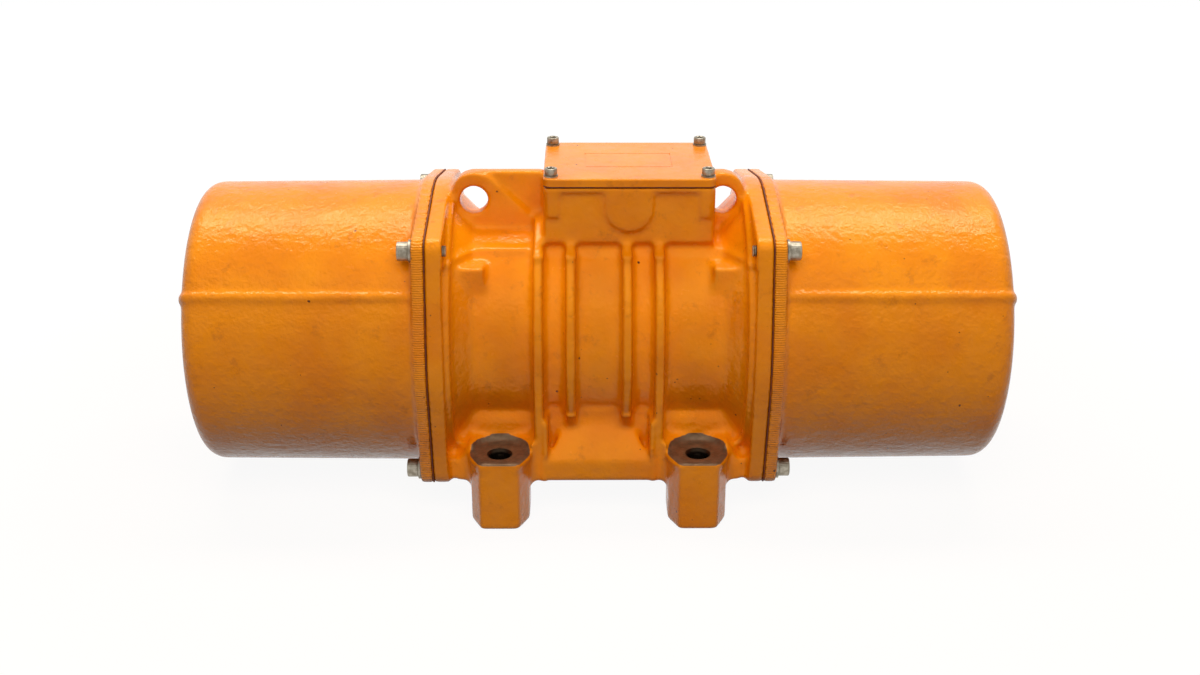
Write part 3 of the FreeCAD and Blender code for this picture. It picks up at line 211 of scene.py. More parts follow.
class StageSizes(bpy.types.PropertyGroup):
    """Camera, lamps and floor."""
    eye: bpy.props.FloatVectorProperty(
        name="Camera place", description="Where the camera stands", subtype="TRANSLATION",
        unit="LENGTH", default=(-0.0118, -1.0416, 0.5292))
    yaw: bpy.props.FloatProperty(
        name="Yaw", description="Turn of the view to the right", default=math.radians(0.745),
        subtype="ANGLE")
    pitch: bpy.props.FloatProperty(
        name="Pitch", description="Tilt of the view down", default=math.radians(22.344),
        subtype="ANGLE")
    roll: bpy.props.FloatProperty(
        name="Roll", description="Lean of the camera", default=math.radians(0.199),
        subtype="ANGLE")
    lens: bpy.props.FloatProperty(
        name="Focal length", description="Lens, in millimetres for a 36 mm sensor", default=44.88)
    overhead_level: bpy.props.FloatProperty(
        name="Overhead light", description="Light on a surface facing the overhead lamp, 1 is full",
        default=1.0)
    key_level: bpy.props.FloatProperty(
        name="Key light", description="Light on a surface facing the lamp above the camera, 1 is full",
        default=0.86)
    fill_level: bpy.props.FloatProperty(
        name="Front light", description="Light on a surface facing the low front lamp, 1 is full",
        default=0.05)
    sky_level: bpy.props.FloatProperty(
        name="Room light", description="Light from all round, 1 is full", default=0.03)


# ---------------------------------------------------------------- finishes


def bare_spots(tree, place):
    """1 on the machined faces that the enamel leaves out, the seats round the foot holes, the holes
    and the soles; and 1 in the holes alone, whose insides get painted shade."""
    parts = add(tree, "ShaderNodeSeparateXYZ", Vector=place).outputs
    along = sums(tree, "SUBTRACT", sums(tree, "ABSOLUTE", parts["X"]), BOLT_ALONG)
    across = sums(tree, "SUBTRACT", sums(tree, "ABSOLUTE", parts["Y"]), BOLT_ACROSS)
    reach = sums(tree, "SQRT", sums(tree, "ADD", sums(tree, "MULTIPLY", along, along),
                                    sums(tree, "MULTIPLY", across, across)))
    ragged = sums(tree, "MULTIPLY_ADD", noise(tree, place, 3 * MM), 0.8 * MM, reach)
    inside = spread(tree, ragged, SEAT_RADIUS + 0.9 * MM, SEAT_RADIUS + 0.5 * MM)
    low_enough = spread(tree, parts["Z"], FOOT_SEAT + 5.6 * MM, FOOT_SEAT + 5.0 * MM)
    high_enough = spread(tree, parts["Z"], FOOT_SEAT - 1.6 * MM, FOOT_SEAT - 1.0 * MM)
    seats = sums(tree, "MULTIPLY", inside, sums(tree, "MULTIPLY", low_enough, high_enough))
    soles = spread(tree, parts["Z"], 0.9 * MM, 0.4 * MM)
    holes = sums(tree, "MULTIPLY", low_enough,
                 spread(tree, reach, BOLT_HOLE + 0.6 * MM, BOLT_HOLE + 0.3 * MM))
    return sums(tree, "MAXIMUM", seats, sums(tree, "MAXIMUM", soles, holes)), holes


def specks(tree, place, cell, share, size):
    """Small ragged spots, 0 to 1: one in a share of the cells, each cell that wide."""
    cells = add(tree, "ShaderNodeTexVoronoi", Vector=place, Scale=1 / cell)
    tone = add(tree, "ShaderNodeSeparateColor", Color=cells.outputs["Color"]).outputs[0]
    edge = sums(tree, "MULTIPLY_ADD", noise(tree, place, size * 0.8, detail=3.0), 0.6 * size / cell,
                cells.outputs["Distance"])
    spot = spread(tree, edge, 0.9 * size / cell, 0.7 * size / cell)
    return sums(tree, "MULTIPLY", spread(tree, tone, 1.0 - share, 1.0 - share + 0.01), spot)


def enamelled_casting(name, sizes, grain_depth, machined=False, combed=False, paints_bend_light=True):
    """Alkyd enamel sprayed on sand-cast iron: a glossy film that softens the sand grain beneath it
    to a fine peel, gathers dust in clouds and shows iron at a few small chips. With bend light
    painted, it gets painted shade in the corners and a painted highlight on the edges, which takes a
    mesh on an even grid. Machined, it leaves the seats and soles bare, and paints the foot holes
    near black as painted shade. Combed, it shows file marks on the guards' rims."""
    material, tree, shader, place = new_finish(name, IOR=1.5, Specular_Tint=linear("#FFD3A0"))
    grain = noise(tree, place, 2.2 * MM, detail=2.0, rough=0.6)
    peel = noise(tree, place, 6 * MM, detail=1.0)
    swells = noise(tree, place, 26 * MM, detail=1.0)
    thick = spread(tree, noise(tree, place, 45 * MM, detail=4.0), 0.35, 0.7)
    paint = blend_colours(tree, sums(tree, "MULTIPLY", thick, 0.5), tuple(sizes.enamel),
                          tuple(sizes.enamel_deep))
    if paints_bend_light:
        # Painted light from the mesh's bends: painted shade darkens the inner corners, and a painted
        # highlight pales the outer edges.
        bend = add(tree, "ShaderNodeNewGeometry").outputs["Pointiness"]
        corners = spread(tree, bend, 0.49, 0.42, 0.0, 0.55)
        edges = spread(tree, bend, 0.53, 0.62, 0.0, 0.5)
        paint = blend_colours(tree, corners, paint, linear("#A34A02"))
        paint = blend_colours(tree, edges, paint, linear("#FFAE3C"))
    dust = spread(tree, noise(tree, place, 14 * MM, detail=6.0, rough=0.7), 0.56, 0.72, 0.0, 0.4)
    paint = blend_colours(tree, dust, paint, linear("#B05E10"))
    chips = sums(tree, "MAXIMUM", specks(tree, place, 14 * MM, 0.14, 1.9 * MM),
                 specks(tree, place, 6 * MM, 0.10, 0.9 * MM))
    colour = blend_colours(tree, chips, paint, linear("#5A2A0C"))
    roughness = spread(tree, noise(tree, place, 9 * MM, detail=3.0), 0.3, 0.75, 0.15, 0.28)
    normal = relief(tree, swells, 0.6 * MM)
    normal = relief(tree, peel, grain_depth * 1.5, normal)
    normal = relief(tree, grain, grain_depth, normal)
    if combed:
        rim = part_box("guard_washers_right")[0].x
        along = add(tree, "ShaderNodeSeparateXYZ", Vector=place).outputs["X"]
        on_rim = spread(tree, sums(tree, "ABSOLUTE", along), rim - 0.2 * MM, rim - 1.0 * MM)
        marks = waves(tree, place, 1.6 * MM, {"bands_direction": "Z"}, distortion=1.5)
        normal = relief(tree, sums(tree, "MULTIPLY", marks, on_rim), 0.25 * MM, normal)
    if machined:
        bare, holes = bare_spots(tree, place)
        stain = noise(tree, place, 6 * MM, detail=4.0)
        iron = blend_colours(tree, stain, linear("#8C745E"), linear("#4E3B2C"))
        # Painted shade: the bare iron inside the foot holes is painted near black.
        iron = blend_colours(tree, holes, iron, linear("#1C1511"))
        colour = blend_colours(tree, bare, colour, iron)
        roughness = sums(tree, "MULTIPLY_ADD", bare, 0.15, roughness)
        feed(tree, shader, Metallic=sums(tree, "MULTIPLY", bare, 0.5))
    feed(tree, shader, Base_Color=colour, Roughness=roughness, Normal=normal)
    return material


def rings_round_shaft(tree, place, spacing):
    """Turning marks: rings about the shaft axis, spacing apart, 0 to 1."""
    centred = add(tree, "ShaderNodeVectorMath", {"operation": "SUBTRACT"}, in_0=place,
                  in_1=SHAFT_AXIS).outputs["Vector"]
    return waves(tree, centred, spacing, {"wave_type": "RINGS", "rings_direction": "X"},
                 distortion=0.6, detail=1.0)


def bare_metal(name, low, high, roughness, mark, depth, uneven=0.08):
    """A metal with its machining marks: two tones of one colour in clouds, and turned rings."""
    material, tree, shader, place = new_finish(name, Metallic=1.0)
    clouds = noise(tree, place, 9 * MM, detail=4.0, rough=0.6)
    colour = blend_colours(tree, spread(tree, clouds, 0.3, 0.7), linear(low), linear(high))
    shine = spread(tree, noise(tree, place, 4 * MM, detail=3.0), 0.3, 0.7,
                   roughness - uneven, roughness + uneven)
    normal = relief(tree, rings_round_shaft(tree, place, mark), depth)
    feed(tree, shader, Base_Color=colour, Roughness=shine, Normal=normal)
    return material


def machined_grey_iron():
    """Grey cast iron, turned: dull dark grey with faint tool rings."""
    return bare_metal("machined_grey_iron", "#5A5A5C", "#77777A", 0.42, 1.2 * MM, 0.02 * MM)


def turned_steel():
    """Carbon steel off the lathe, oiled: bright with close turning rings."""
    return bare_metal("turned_carbon_steel", "#8E9094", "#B2B4B7", 0.26, 1.0 * MM, 0.01 * MM)


def ground_bearing_steel():
    """Through-hardened bearing steel, ground: nearly mirror bright."""
    return bare_metal("ground_bearing_steel", "#A9ABAE", "#C4C6C8", 0.15, 0.8 * MM, 0.003 * MM, 0.04)


def machined_brass():
    """Leaded brass, machined: yellow, bright, with fine tool marks."""
    return bare_metal("machined_brass", "#B08C3C", "#D2AE5A", 0.24, 0.8 * MM, 0.01 * MM)


def die_cast_aluminium():
    """Aluminium cast into the rotor's slots: pale, matt, a little pitted."""
    return bare_metal("die_cast_aluminium", "#A6A8AA", "#C6C8CA", 0.45, 2.5 * MM, 0.05 * MM)


def zinc_plated_steel():
    """Zinc-plated steel, aged: a soft warm grey metal with cloudy bright and dull patches."""
    material, tree, shader, place = new_finish("zinc_plated_steel", Metallic=1.0)
    patches = noise(tree, place, 3.5 * MM, detail=4.0, rough=0.6)
    colour = blend_colours(tree, spread(tree, patches, 0.35, 0.7), linear("#857C6C"),
                           linear("#B4AC9C"))
    shine = spread(tree, patches, 0.3, 0.75, 0.34, 0.52)
    normal = relief(tree, noise(tree, place, 0.8 * MM, detail=3.0), 0.03 * MM)
    feed(tree, shader, Base_Color=colour, Roughness=shine, Normal=normal)
    return material


def stacked_laminations():
    """Punched electrical sheet, stacked: 0.5 mm sheets, drawn 1.5 mm thick so that they show."""
    material, tree, shader, place = new_finish("stacked_electrical_steel", Metallic=1.0)
    sheets = waves(tree, place, 1.5 * MM, {"wave_type": "BANDS", "bands_direction": "X"},
                   distortion=0.2)
    tone = noise(tree, place, 12 * MM, detail=3.0)
    colour = blend_colours(tree, tone, linear("#5F6164"), linear("#85878A"))
    feed(tree, shader, Base_Color=colour, Roughness=spread(tree, tone, 0.3, 0.7, 0.32, 0.5),
         Normal=relief(tree, sheets, 0.05 * MM))
    return material


def varnished_copper():
    """Enamelled copper wire wound in bundles and dipped in varnish: red-brown, glossy, ridged by
    the 1.2 mm wires, which are drawn 2.5 mm apart so that they show."""
    material, tree, shader, place = new_finish("varnished_copper_wire", Metallic=0.6, Coat_Weight=0.6,
                                               Coat_Roughness=0.2)
    wires = rings_round_shaft(tree, place, 2.5 * MM)
    tone = noise(tree, place, 8 * MM, detail=3.0)
    colour = blend_colours(tree, tone, linear("#7A3413"), linear("#B5622D"))
    feed(tree, shader, Base_Color=colour, Roughness=spread(tree, tone, 0.3, 0.7, 0.3, 0.45),
         Normal=relief(tree, wires, 0.4 * MM))
    return material


def moulded_polyester():
    """Glass-filled polyester moulding compound: near black, satin, with a faint fibre mottle."""
    material, tree, shader, place = new_finish("moulded_polyester_compound", IOR=1.52)
    mottle = noise(tree, place, 1.5 * MM, detail=4.0)
    colour = blend_colours(tree, mottle, linear("#241F1C"), linear("#3A3430"))
    feed(tree, shader, Base_Color=colour, Roughness=spread(tree, mottle, 0.3, 0.7, 0.42, 0.6),
         Normal=relief(tree, mottle, 0.03 * MM))
    return material


def nitrile_rubber():
    """Nitrile rubber sheet, cut, with the enamel run thinly over its edge: dull and red-brown."""
    material, tree, shader, place = new_finish("cut_nitrile_rubber", IOR=1.52)
    mist = noise(tree, place, 7 * MM, detail=3.0)
    colour = blend_colours(tree, spread(tree, mist, 0.4, 0.7), linear("#5A2408"), linear("#8A420C"))
    feed(tree, shader, Base_Color=colour, Roughness=spread(tree, mist, 0.3, 0.7, 0.6, 0.75),
         Normal=relief(tree, noise(tree, place, 1.0 * MM), 0.03 * MM))
    return material


# ---------------------------------------------------------------- mesh helpers


def new_piece(name, mesh, material):
    """Links a mesh as an object with one finish."""
    piece = bpy.data.objects.new(name, mesh)
    bpy.context.scene.collection.objects.link(piece)
    mesh.materials.clear()
    mesh.materials.append(material)
    return piece


def seat(piece, body, slot, *nodes):
    """The piece rides on a body and stands for some frame nodes, which it hides; slot is not used."""
    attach(piece, body)
    if nodes:
        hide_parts(*nodes)
    return piece


def coat(names, material):
    """Gives frame nodes a finish."""
    for name in names:
        mesh = NODES[name].data
        mesh.materials.clear()
        mesh.materials.append(material)


def both(*stems):
    """The left and right node of each stem."""
    return [f"{stem}_{side}" for stem in stems for side in SIDES]


def ramp(values, low, high):
    """0 at low and 1 at high, smooth between, for an array of values."""
    share = np.clip((values - low) / (high - low), 0.0, 1.0)
    return share * share * (3 - 2 * share)


class Web:
    """The sloping web between the outer ribs, from the slab's front edge up to the barrel."""
    front_at = 91 * MM              # its foot, from the shaft's upright plane
    barrel_at = 69 * MM             # its head
    foot_level = 43 * MM
    side_level = 66 * MM            # its head, at the sides
    crest_level = 71.2 * MM         # its head, in the middle
    half_width = 38.5 * MM          # at the foot
    head_half_width = 24 * MM
    crest_half = 8 * MM
    step_rise = 6 * MM              # how far the slab beside it climbs towards the barrel
    slab_top = 57 * MM
    rib_face = 38.7 * MM            # inner faces of the outer ribs


def roundness(points):
    """How far the mould's fillets run at each point: 1 on ribs, neck and feet, less on the terminal
    box, the lifting eyes and the web, and hardly any on the seats, joint faces and screw ears."""
    x, y, z = np.abs(points[:, 0]), np.abs(points[:, 1]), points[:, 2]
    from_bolt = np.hypot(x - BOLT_ALONG, y - BOLT_ACROSS)
    on_box = ramp(z, BOX_UNDER - 2 * MM, BOX_UNDER + 3 * MM)
    on_flange = ramp(x, JOINT_AT - 14 * MM, JOINT_AT - 10 * MM)
    on_seat = (ramp(from_bolt, SEAT_RADIUS + 3 * MM, SEAT_RADIUS + 1 * MM)
               * ramp(z, FOOT_SEAT - 3 * MM, FOOT_SEAT - 1 * MM)
               * ramp(z, FOOT_SEAT + 8 * MM, FOOT_SEAT + 4 * MM))
    on_web = (ramp(x, Web.half_width + 0.5 * MM, Web.half_width - 1.5 * MM)
              * ramp(y, Web.barrel_at + 1 * MM, Web.barrel_at + 4 * MM)
              * ramp(z, Web.crest_level + 4.8 * MM, Web.crest_level + 0.8 * MM))
    return np.minimum.reduce([1.0 - 0.75 * on_box, 1.0 - 0.85 * on_flange, 1.0 - 0.9 * on_seat,
                              1.0 - 0.8 * on_web])


def bare_the_web(places):
    """Sinks the slab between the outer ribs to the web, with a step down at each side of it."""
    x, y, z = np.abs(places[:, 0]), np.abs(places[:, 1]), places[:, 2]
    share = (Web.front_at - y) / (Web.front_at - Web.barrel_at)
    half = Web.half_width + (Web.head_half_width - Web.half_width) * share
    side = Web.foot_level + (Web.side_level - Web.foot_level) * share
    crest = Web.foot_level + (Web.crest_level - Web.foot_level) * share
    outward = np.clip((x - Web.crest_half) / (half - Web.crest_half), 0.0, 1.0)
    level = crest + (side - crest) * outward
    level = np.where(x > half, Web.foot_level + Web.step_rise * share, level)
    on_slab = ((x < Web.rib_face) & (y > Web.barrel_at + 1 * MM) & (y < Web.front_at + 1 * MM)
               & (z < Web.slab_top + 3 * MM))
    places[:, 2] = np.where(on_slab, np.minimum(z, level), z)


def vertex_places(mesh):
    """The mesh's vertex places as an array."""
    values = np.empty(len(mesh.vertices) * 3, dtype=np.float32)
    mesh.vertices.foreach_get("co", values)
    return values.reshape(-1, 3)


def vertex_normals(mesh):
    """The mesh's vertex normals as an array."""
    values = np.empty(len(mesh.vertices) * 3, dtype=np.float32)
    mesh.vertex_normals.foreach_get("vector", values)
    return values.reshape(-1, 3)


def move_vertices(mesh, places):
    """Puts the mesh's vertices at those places."""
    mesh.vertices.foreach_set("co", places.astype(np.float32).ravel())
    mesh.update()


def remeshed(mesh, grid):
    """The mesh rebuilt on an even grid."""
    work = bpy.data.objects.new("work", mesh)
    bpy.context.scene.collection.objects.link(work)
    even = work.modifiers.new("even", "REMESH")
    even.mode = "VOXEL"
    even.voxel_size = grid
    graph = bpy.context.evaluated_depsgraph_get()
    result = bpy.data.meshes.new_from_object(work.evaluated_get(graph))
    bpy.data.objects.remove(work)
    bpy.data.meshes.remove(mesh)
    return result


def smoothed_places(mesh, passes):
    """Smooths the mesh that many times, and returns where its vertices are then."""
    shape = bmesh.new()
    shape.from_mesh(mesh)
    for _ in range(passes):
        bmesh.ops.smooth_vert(shape, verts=shape.verts, factor=0.5, use_axis_x=True,
                              use_axis_y=True, use_axis_z=True)
    shape.to_mesh(mesh)
    shape.free()
    return vertex_places(mesh)


def soft_casting(node, sizes, fillet, carve=None):
    """A new mesh of the node's solid with cast fillets. Swelling the surface and shrinking it back
    rounds the inner corners; smoothing then rounds the outer edges, but not at the joint faces."""
    mesh = NODES[node].data.copy()
    if carve:
        mesh = remeshed(mesh, sizes.grid)
        places = vertex_places(mesh)
        carve(places)
        move_vertices(mesh, places)
    for swell in (fillet, -fillet):
        mesh = remeshed(mesh, sizes.grid)
        places = vertex_places(mesh)
        places += vertex_normals(mesh) * (swell * roundness(places))[:, None]
        move_vertices(mesh, places)
    mesh = remeshed(mesh, sizes.grid)
    crisp = vertex_places(mesh)
    smooth = smoothed_places(mesh, sizes.softening)
    x = np.abs(crisp[:, 0])
    at_joint = (ramp(x, JOINT_AT - 6 * MM, JOINT_AT - 3 * MM)
                * ramp(x, JOINT_AT + 6 * MM, JOINT_AT + 4 * MM))
    share = ((1.0 - at_joint) * (0.35 + 0.65 * roundness(crisp)))[:, None]
    low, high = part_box(node)
    move_vertices(mesh, np.clip(smooth * share + crisp * (1 - share), low, high))
    mesh.shade_smooth()
    mesh.name = f"{node}_cast"
    return mesh


def lathe(rings):
    """A closed mesh of stacked rings along +Z, each a list of points, with both ends capped."""
    shape = bmesh.new()
    loops = [[shape.verts.new(point) for point in ring] for ring in rings]
    count = len(loops[0])
    for low, high in zip(loops, loops[1:]):
        for i in range(count):
            j = (i + 1) % count
            shape.faces.new((low[i], low[j], high[j], high[i]))
    shape.faces.new(list(reversed(loops[0])))
    shape.faces.new(loops[-1])
    return shape


def round_ring(radius, height, flutes=0, depth=0.0, count=96):
    """A ring of points, with flutes grooves of that depth round it."""
    points = []
    for i in range(count):
        turn = math.tau * i / count
        reach = radius - depth * (0.5 - 0.5 * math.cos(flutes * turn))
        points.append(Vector((reach * math.cos(turn), reach * math.sin(turn), height)))
    return points


def hexagon_ring(flat, height, count=96):
    """A hexagon of points, flat from its centre to a side."""
    points = []
    for i in range(count):
        turn = math.tau * i / count
        reach = flat / math.cos((turn + math.pi / 6) % (math.pi / 3) - math.pi / 6)
        points.append(Vector((reach * math.cos(turn), reach * math.sin(turn), height)))
    return points


def socket_screw(sizes, head_radius, head_height, shank_radius, grip, pitch):
    """A socket-head cap screw along +Z, with its head's seat at height 0."""
    thread_turns = int(grip / pitch)
    rings = [round_ring(shank_radius - sizes.thread_depth, -grip)]
    for turn in range(thread_turns):
        start = -grip + turn * pitch
        rings.append(round_ring(shank_radius - sizes.thread_depth, start + 0.1 * pitch))
        rings.append(round_ring(shank_radius, start + 0.5 * pitch))
    rings.append(round_ring(shank_radius - sizes.thread_depth, -0.02 * MM))
    fluted = {"flutes": sizes.flutes, "depth": sizes.flute_depth}
    socket = head_radius * 0.53
    rings += [
        round_ring(head_radius - 0.4 * MM, 0.0),
        round_ring(head_radius, 0.4 * MM, **fluted),
        round_ring(head_radius, head_height - sizes.rim, **fluted),
        round_ring(head_radius - 0.3 * sizes.rim, head_height - 0.35 * sizes.rim),
        round_ring(head_radius - sizes.rim, head_height),
        round_ring(socket * 1.22, head_height),
        hexagon_ring(socket, head_height - 0.35 * MM),
        hexagon_ring(socket, head_height * 0.45),
        round_ring(socket * 0.3, head_height * 0.38),
    ]
    return lathe(rings)


def screw_set(name, template, places, axis):
    """One mesh with the template at each place, its +Z turned to axis and its flats varied."""
    joined = bmesh.new()
    part = bpy.data.meshes.new("part")
    template.to_mesh(part)
    tilt = Vector((0, 0, 1)).rotation_difference(axis).to_matrix().to_4x4()
    for number, place in enumerate(places):
        turned = Matrix.Rotation(0.7 * number, 4, "Z")
        before = len(joined.verts)
        joined.from_mesh(part)
        joined.verts.ensure_lookup_table()
        bmesh.ops.transform(joined, matrix=Matrix.Translation(place) @ tilt @ turned,
                            verts=joined.verts[before:])
    bmesh.ops.recalc_face_normals(joined, faces=joined.faces)
    mesh = bpy.data.meshes.new(name)
    joined.to_mesh(mesh)
    joined.free()
    template.free()
    bpy.data.meshes.remove(part)
    mesh.shade_smooth()
    mesh.set_sharp_from_angle(angle=math.radians(35))
    return mesh


def corner_centres(node, inset, level):
    """The axes of four upright screws at that level. Each is inset from two sides of the node's
    box by its head's radius."""
    low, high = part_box(node)
    return [Vector((x, y, level)) for x in (low.x + inset, high.x - inset)
            for y in (low.y + inset, high.y - inset)]


# ---------------------------------------------------------------- pieces


class MOTOR_OT_housing(bpy.types.Operator):
    """Motor housing with its feet, ribs, lifting eyes and terminal box"""
    bl_idname = "motor.housing"
    bl_label = "Housing"

    def execute(self, context):
        sizes = context.scene.motor_castings
        enamel = enamelled_casting("enamel_on_iron_housing", sizes, 0.28 * MM, machined=True)
        mesh = soft_casting("housing", sizes, sizes.fillet, carve=bare_the_web)
        piece = new_piece("housing_casting", mesh, enamel)
        seat(piece, "motor_body", "orange_enamel_casting", "housing")
        return {"FINISHED"}


class MOTOR_OT_guards(bpy.types.Operator):
    """Drum guards over the weights"""
    bl_idname = "motor.guards"
    bl_label = "Weight guards"

    def execute(self, context):
        sizes = context.scene.motor_castings
        enamel = enamelled_casting("enamel_on_iron_guard", sizes, 0.45 * MM, combed=True)
        for side in SIDES:
            node = f"weight_guard_{side}"
            mesh = soft_casting(node, sizes, sizes.guard_fillet)
            piece = new_piece(f"guard_casting_{side}", mesh, enamel)
            seat(piece, "motor_body", "orange_enamel_casting", node)
        return {"FINISHED"}


class MOTOR_OT_lid(bpy.types.Operator):
    """Lid of the terminal box"""
    bl_idname = "motor.lid"
    bl_label = "Terminal lid"

    def execute(self, context):
        sizes = context.scene.motor_castings
        enamel = enamelled_casting("enamel_on_iron_lid", sizes, 0.14 * MM, paints_bend_light=False)
        coat(["terminal_lid"], enamel)
        return {"FINISHED"}


class MOTOR_OT_screws(bpy.types.Operator):
    """Socket screws and washers that show, on the guards and the lid"""
    bl_idname = "motor.screws"
    bl_label = "Socket screws"

    def execute(self, context):
        sizes = context.scene.motor_fasteners
        zinc = zinc_plated_steel()
        coat(both("guard_washers") + ["lid_washers"], zinc)
        for side in SIDES:
            node = f"guard_screws_{side}"
            low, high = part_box(node)
            inner, outer = (high.x, low.x) if side == "left" else (low.x, high.x)
            washer_low, washer_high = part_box(f"guard_washers_{side}")
            seat_at = washer_low.x if side == "left" else washer_high.x
            head = sizes.guard_head
            places = [Vector((seat_at, y, z)) for y in (low.y + head, high.y - head)
                      for z in (low.z + head, high.z - head)]
            screw = socket_screw(sizes, head, abs(outer - seat_at), 4.0 * MM, abs(seat_at - inner),
                                 1.25 * MM)
            mesh = screw_set(f"guard_screw_set_{side}", screw, places, Vector((OUTWARD[side], 0, 0)))
            seat(new_piece(f"guard_screw_set_{side}", mesh, zinc), "motor_body",
                 "zinc_plated_steel", node)
        low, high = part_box("lid_screws")
        seat_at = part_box("lid_washers")[1].z
        head = sizes.lid_head
        screw = socket_screw(sizes, head, high.z - seat_at, 2.5 * MM, seat_at - low.z, 0.8 * MM)
        places = corner_centres("lid_screws", head, seat_at)
        mesh = screw_set("lid_screw_set", screw, places, Vector((0, 0, 1)))
        seat(new_piece("lid_screw_set", mesh, zinc), "motor_body", "zinc_plated_steel", "lid_screws")
        return {"FINISHED"}


class MOTOR_OT_inner_screws(bpy.types.Operator):
    """Screws of the end shields, grease covers and earth point"""
    bl_idname = "motor.inner_screws"
    bl_label = "Inner screws"

    def execute(self, context):
        coat(both("shield_screws", "cover_screws") + ["earth_screw"], zinc_plated_steel())
        return {"FINISHED"}


class MOTOR_OT_seals(bpy.types.Operator):
    """Flat seals under the guards and the lid"""
    bl_idname = "motor.seals"
    bl_label = "Seals"

    def execute(self, context):
        coat(both("guard_gasket") + ["terminal_gasket"], nitrile_rubber())
        return {"FINISHED"}


class MOTOR_OT_shields(bpy.types.Operator):
    """End shields and grease covers"""
    bl_idname = "motor.shields"
    bl_label = "End shields"

    def execute(self, context):
        coat(both("end_shield", "grease_cover"), machined_grey_iron())
        return {"FINISHED"}


class MOTOR_OT_weights(bpy.types.Operator):
    """Fixed and adjustable eccentric weights"""
    bl_idname = "motor.weights"
    bl_label = "Weights"

    def execute(self, context):
        coat(both("fixed_weight", "adjustable_weight"), machined_grey_iron())
        return {"FINISHED"}


class MOTOR_OT_rotor(bpy.types.Operator):
    """Shaft, rotor core and what turns with them"""
    bl_idname = "motor.rotor"
    bl_label = "Rotor"

    def execute(self, context):
        coat(["shaft"] + both("shaft_key", "shaft_nut", "end_washer", "flinger_ring", "clamp_screws"),
             turned_steel())
        coat(["rotor_cage_rings"], die_cast_aluminium())
        coat(["rotor_core"], stacked_laminations())
        return {"FINISHED"}


class MOTOR_OT_bearings(bpy.types.Operator):
    """Roller bearings"""
    bl_idname = "motor.bearings"
    bl_label = "Bearings"

    def execute(self, context):
        coat(both("bearing_outer_ring", "bearing_inner_ring", "bearing_rollers"), ground_bearing_steel())
        coat(both("bearing_cage"), machined_brass())
        return {"FINISHED"}


class MOTOR_OT_stator(bpy.types.Operator):
    """Stator core and windings"""
    bl_idname = "motor.stator"
    bl_label = "Stator"

    def execute(self, context):
        coat(["stator_core"], stacked_laminations())
        coat(["stator_windings"], varnished_copper())
        return {"FINISHED"}


class MOTOR_OT_terminals(bpy.types.Operator):
    """Terminal board with its studs, nuts and links"""
    bl_idname = "motor.terminals"
    bl_label = "Terminals"

    def execute(self, context):
        coat(["terminal_board"], moulded_polyester())
        coat(["terminal_studs", "terminal_nuts", "terminal_links"], machined_brass())
        return {"FINISHED"}


# ---------------------------------------------------------------- stage


def view_only(tree):
    """1 for what is seen directly, mirrored or through glass, and 0 for light on surfaces."""
    rays = add(tree, "ShaderNodeLightPath").outputs
    seen = sums(tree, "MAXIMUM", rays["Is Camera Ray"], rays["Is Glossy Ray"])
    return sums(tree, "MAXIMUM", seen, rays["Is Transmission Ray"])


def plain_floor():
    """Matt white board. It throws little light back on the motor; what is seen of it gets a lift
    to white, more of it away from the motor, and keeps the shadow."""
    material = bpy.data.materials.new("matt_white_board")
    material.use_nodes = True
    tree = material.node_tree
    tree.nodes.clear()
    board = add(tree, "ShaderNodeBsdfDiffuse", Color=linear("#4C4640"))
    place = add(tree, "ShaderNodeTexCoord").outputs["Object"]
    reach = add(tree, "ShaderNodeVectorMath", {"operation": "LENGTH"}, in_0=place).outputs["Value"]
    strength = sums(tree, "MULTIPLY", view_only(tree), spread(tree, reach, 0.35, 0.9, 0.93, 1.0))
    lift = add(tree, "ShaderNodeEmission", Color=linear("#FFFFFF"), Strength=strength)
    lit_board = add(tree, "ShaderNodeAddShader", in_0=board.outputs[0], in_1=lift.outputs[0])
    add(tree, "ShaderNodeOutputMaterial", Surface=lit_board.outputs[0])
    return material


def lamp(name, place, target, width, height, level, tint):
    """A soft rectangular lamp that gives a surface facing it that level of light."""
    light = bpy.data.lights.new(name, "AREA")
    light.color = linear(tint)
    light.shape = "RECTANGLE"
    light.size = width
    light.size_y = height
    toward = Vector(target) - Vector(place)
    light.energy = level * math.pi ** 2 * toward.length_squared
    holder = bpy.data.objects.new(name, light)
    holder.location = place
    holder.rotation_euler = toward.to_track_quat("-Z", "Y").to_euler()
    bpy.context.scene.collection.objects.link(holder)
    return holder


def aim_camera(sizes):
    """The camera, from its place and its yaw, pitch and roll."""
    yaw, pitch, roll = sizes.yaw, sizes.pitch, sizes.roll
    ahead = Vector((math.sin(yaw) * math.cos(pitch), math.cos(yaw) * math.cos(pitch), -math.sin(pitch)))
    right = ahead.cross(Vector((0, 0, 1))).normalized()
    up = right.cross(ahead)
    leaned_right = math.cos(roll) * right + math.sin(roll) * up
    leaned_up = math.cos(roll) * up - math.sin(roll) * right
    turned = Matrix((leaned_right, leaned_up, -ahead)).transposed().to_4x4()
    data = bpy.data.cameras.new("camera")
    data.sensor_width = 36.0
    data.lens = sizes.lens
    data.clip_start = 0.01
    camera = bpy.data.objects.new("camera", data)
    camera.matrix_world = Matrix.Translation(Vector(sizes.eye)) @ turned
    bpy.context.scene.collection.objects.link(camera)
    bpy.context.scene.camera = camera


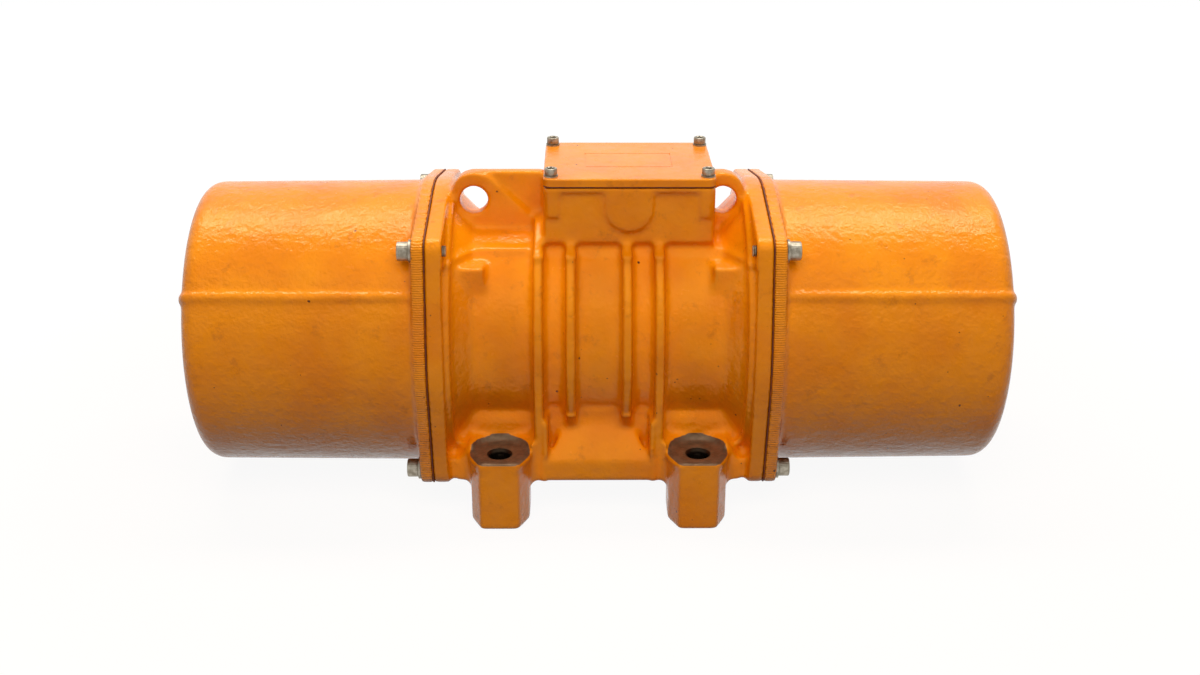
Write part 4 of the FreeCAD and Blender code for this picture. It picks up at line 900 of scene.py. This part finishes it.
class MOTOR_OT_stage(bpy.types.Operator):
    """Floor, lamps, room light and camera"""
    bl_idname = "motor.stage"
    bl_label = "Stage"

    def execute(self, context):
        sizes = context.scene.motor_stage
        bpy.ops.mesh.primitive_plane_add(size=4.0)
        floor = context.object
        floor.name = "floor"
        floor.data.materials.append(plain_floor())
        middle = (0, 0, 0.12)
        lamp("overhead", (0.0, 0.38, 1.45), middle, 1.8, 0.4, sizes.overhead_level, "#FFFAF0")
        key = lamp("key", (0.0, -1.3, 1.6), middle, 2.0, 1.2, sizes.key_level, "#FFF6E6")
        front = lamp("front", (0.2, -2.2, 0.5), middle, 2.4, 1.2, sizes.fill_level, "#FFD9B0")
        key.visible_glossy = front.visible_glossy = False
        world = bpy.data.worlds.new("room")
        context.scene.world = world
        world.use_nodes = True
        tree = world.node_tree
        tree.nodes.clear()
        strength = spread(tree, view_only(tree), 0.0, 1.0, sizes.sky_level, 1.0)
        sky = add(tree, "ShaderNodeBackground", Color=linear("#FFFFFF"), Strength=strength)
        add(tree, "ShaderNodeOutputWorld", Surface=sky.outputs[0])
        context.scene.view_settings.view_transform = "Standard"
        aim_camera(sizes)
        return {"FINISHED"}


class MOTOR_PT_pieces(bpy.types.Panel):
    """The motor's pieces, one button each"""
    bl_label = "Vibration motor"
    bl_idname = "MOTOR_PT_pieces"
    bl_space_type = "VIEW_3D"
    bl_region_type = "UI"
    bl_category = "Motor"

    def draw(self, context):
        for operator in OPERATORS:
            self.layout.operator(operator.bl_idname)
        for group in (context.scene.motor_castings, context.scene.motor_fasteners,
                      context.scene.motor_stage):
            box = self.layout.box()
            for name in group.__annotations__:
                box.prop(group, name)


GROUPS = {"motor_castings": CastingSizes, "motor_fasteners": FastenerSizes, "motor_stage": StageSizes}
OPERATORS = (
    MOTOR_OT_housing, MOTOR_OT_guards, MOTOR_OT_lid, MOTOR_OT_screws, MOTOR_OT_inner_screws,
    MOTOR_OT_seals, MOTOR_OT_shields, MOTOR_OT_weights, MOTOR_OT_rotor, MOTOR_OT_bearings,
    MOTOR_OT_stator, MOTOR_OT_terminals, MOTOR_OT_stage,
)


def register():
    for name, group in GROUPS.items():
        bpy.utils.register_class(group)
        setattr(bpy.types.Scene, name, bpy.props.PointerProperty(type=group))
    for operator in OPERATORS:
        bpy.utils.register_class(operator)
    bpy.utils.register_class(MOTOR_PT_pieces)


def unregister():
    bpy.utils.unregister_class(MOTOR_PT_pieces)
    for operator in reversed(OPERATORS):
        bpy.utils.unregister_class(operator)
    for name, group in GROUPS.items():
        delattr(bpy.types.Scene, name)
        bpy.utils.unregister_class(group)


def main():
    register()
    for operator in OPERATORS:
        family, action = operator.bl_idname.split(".")
        getattr(getattr(bpy.ops, family), action)()


if __name__ == "__main__":
    main()
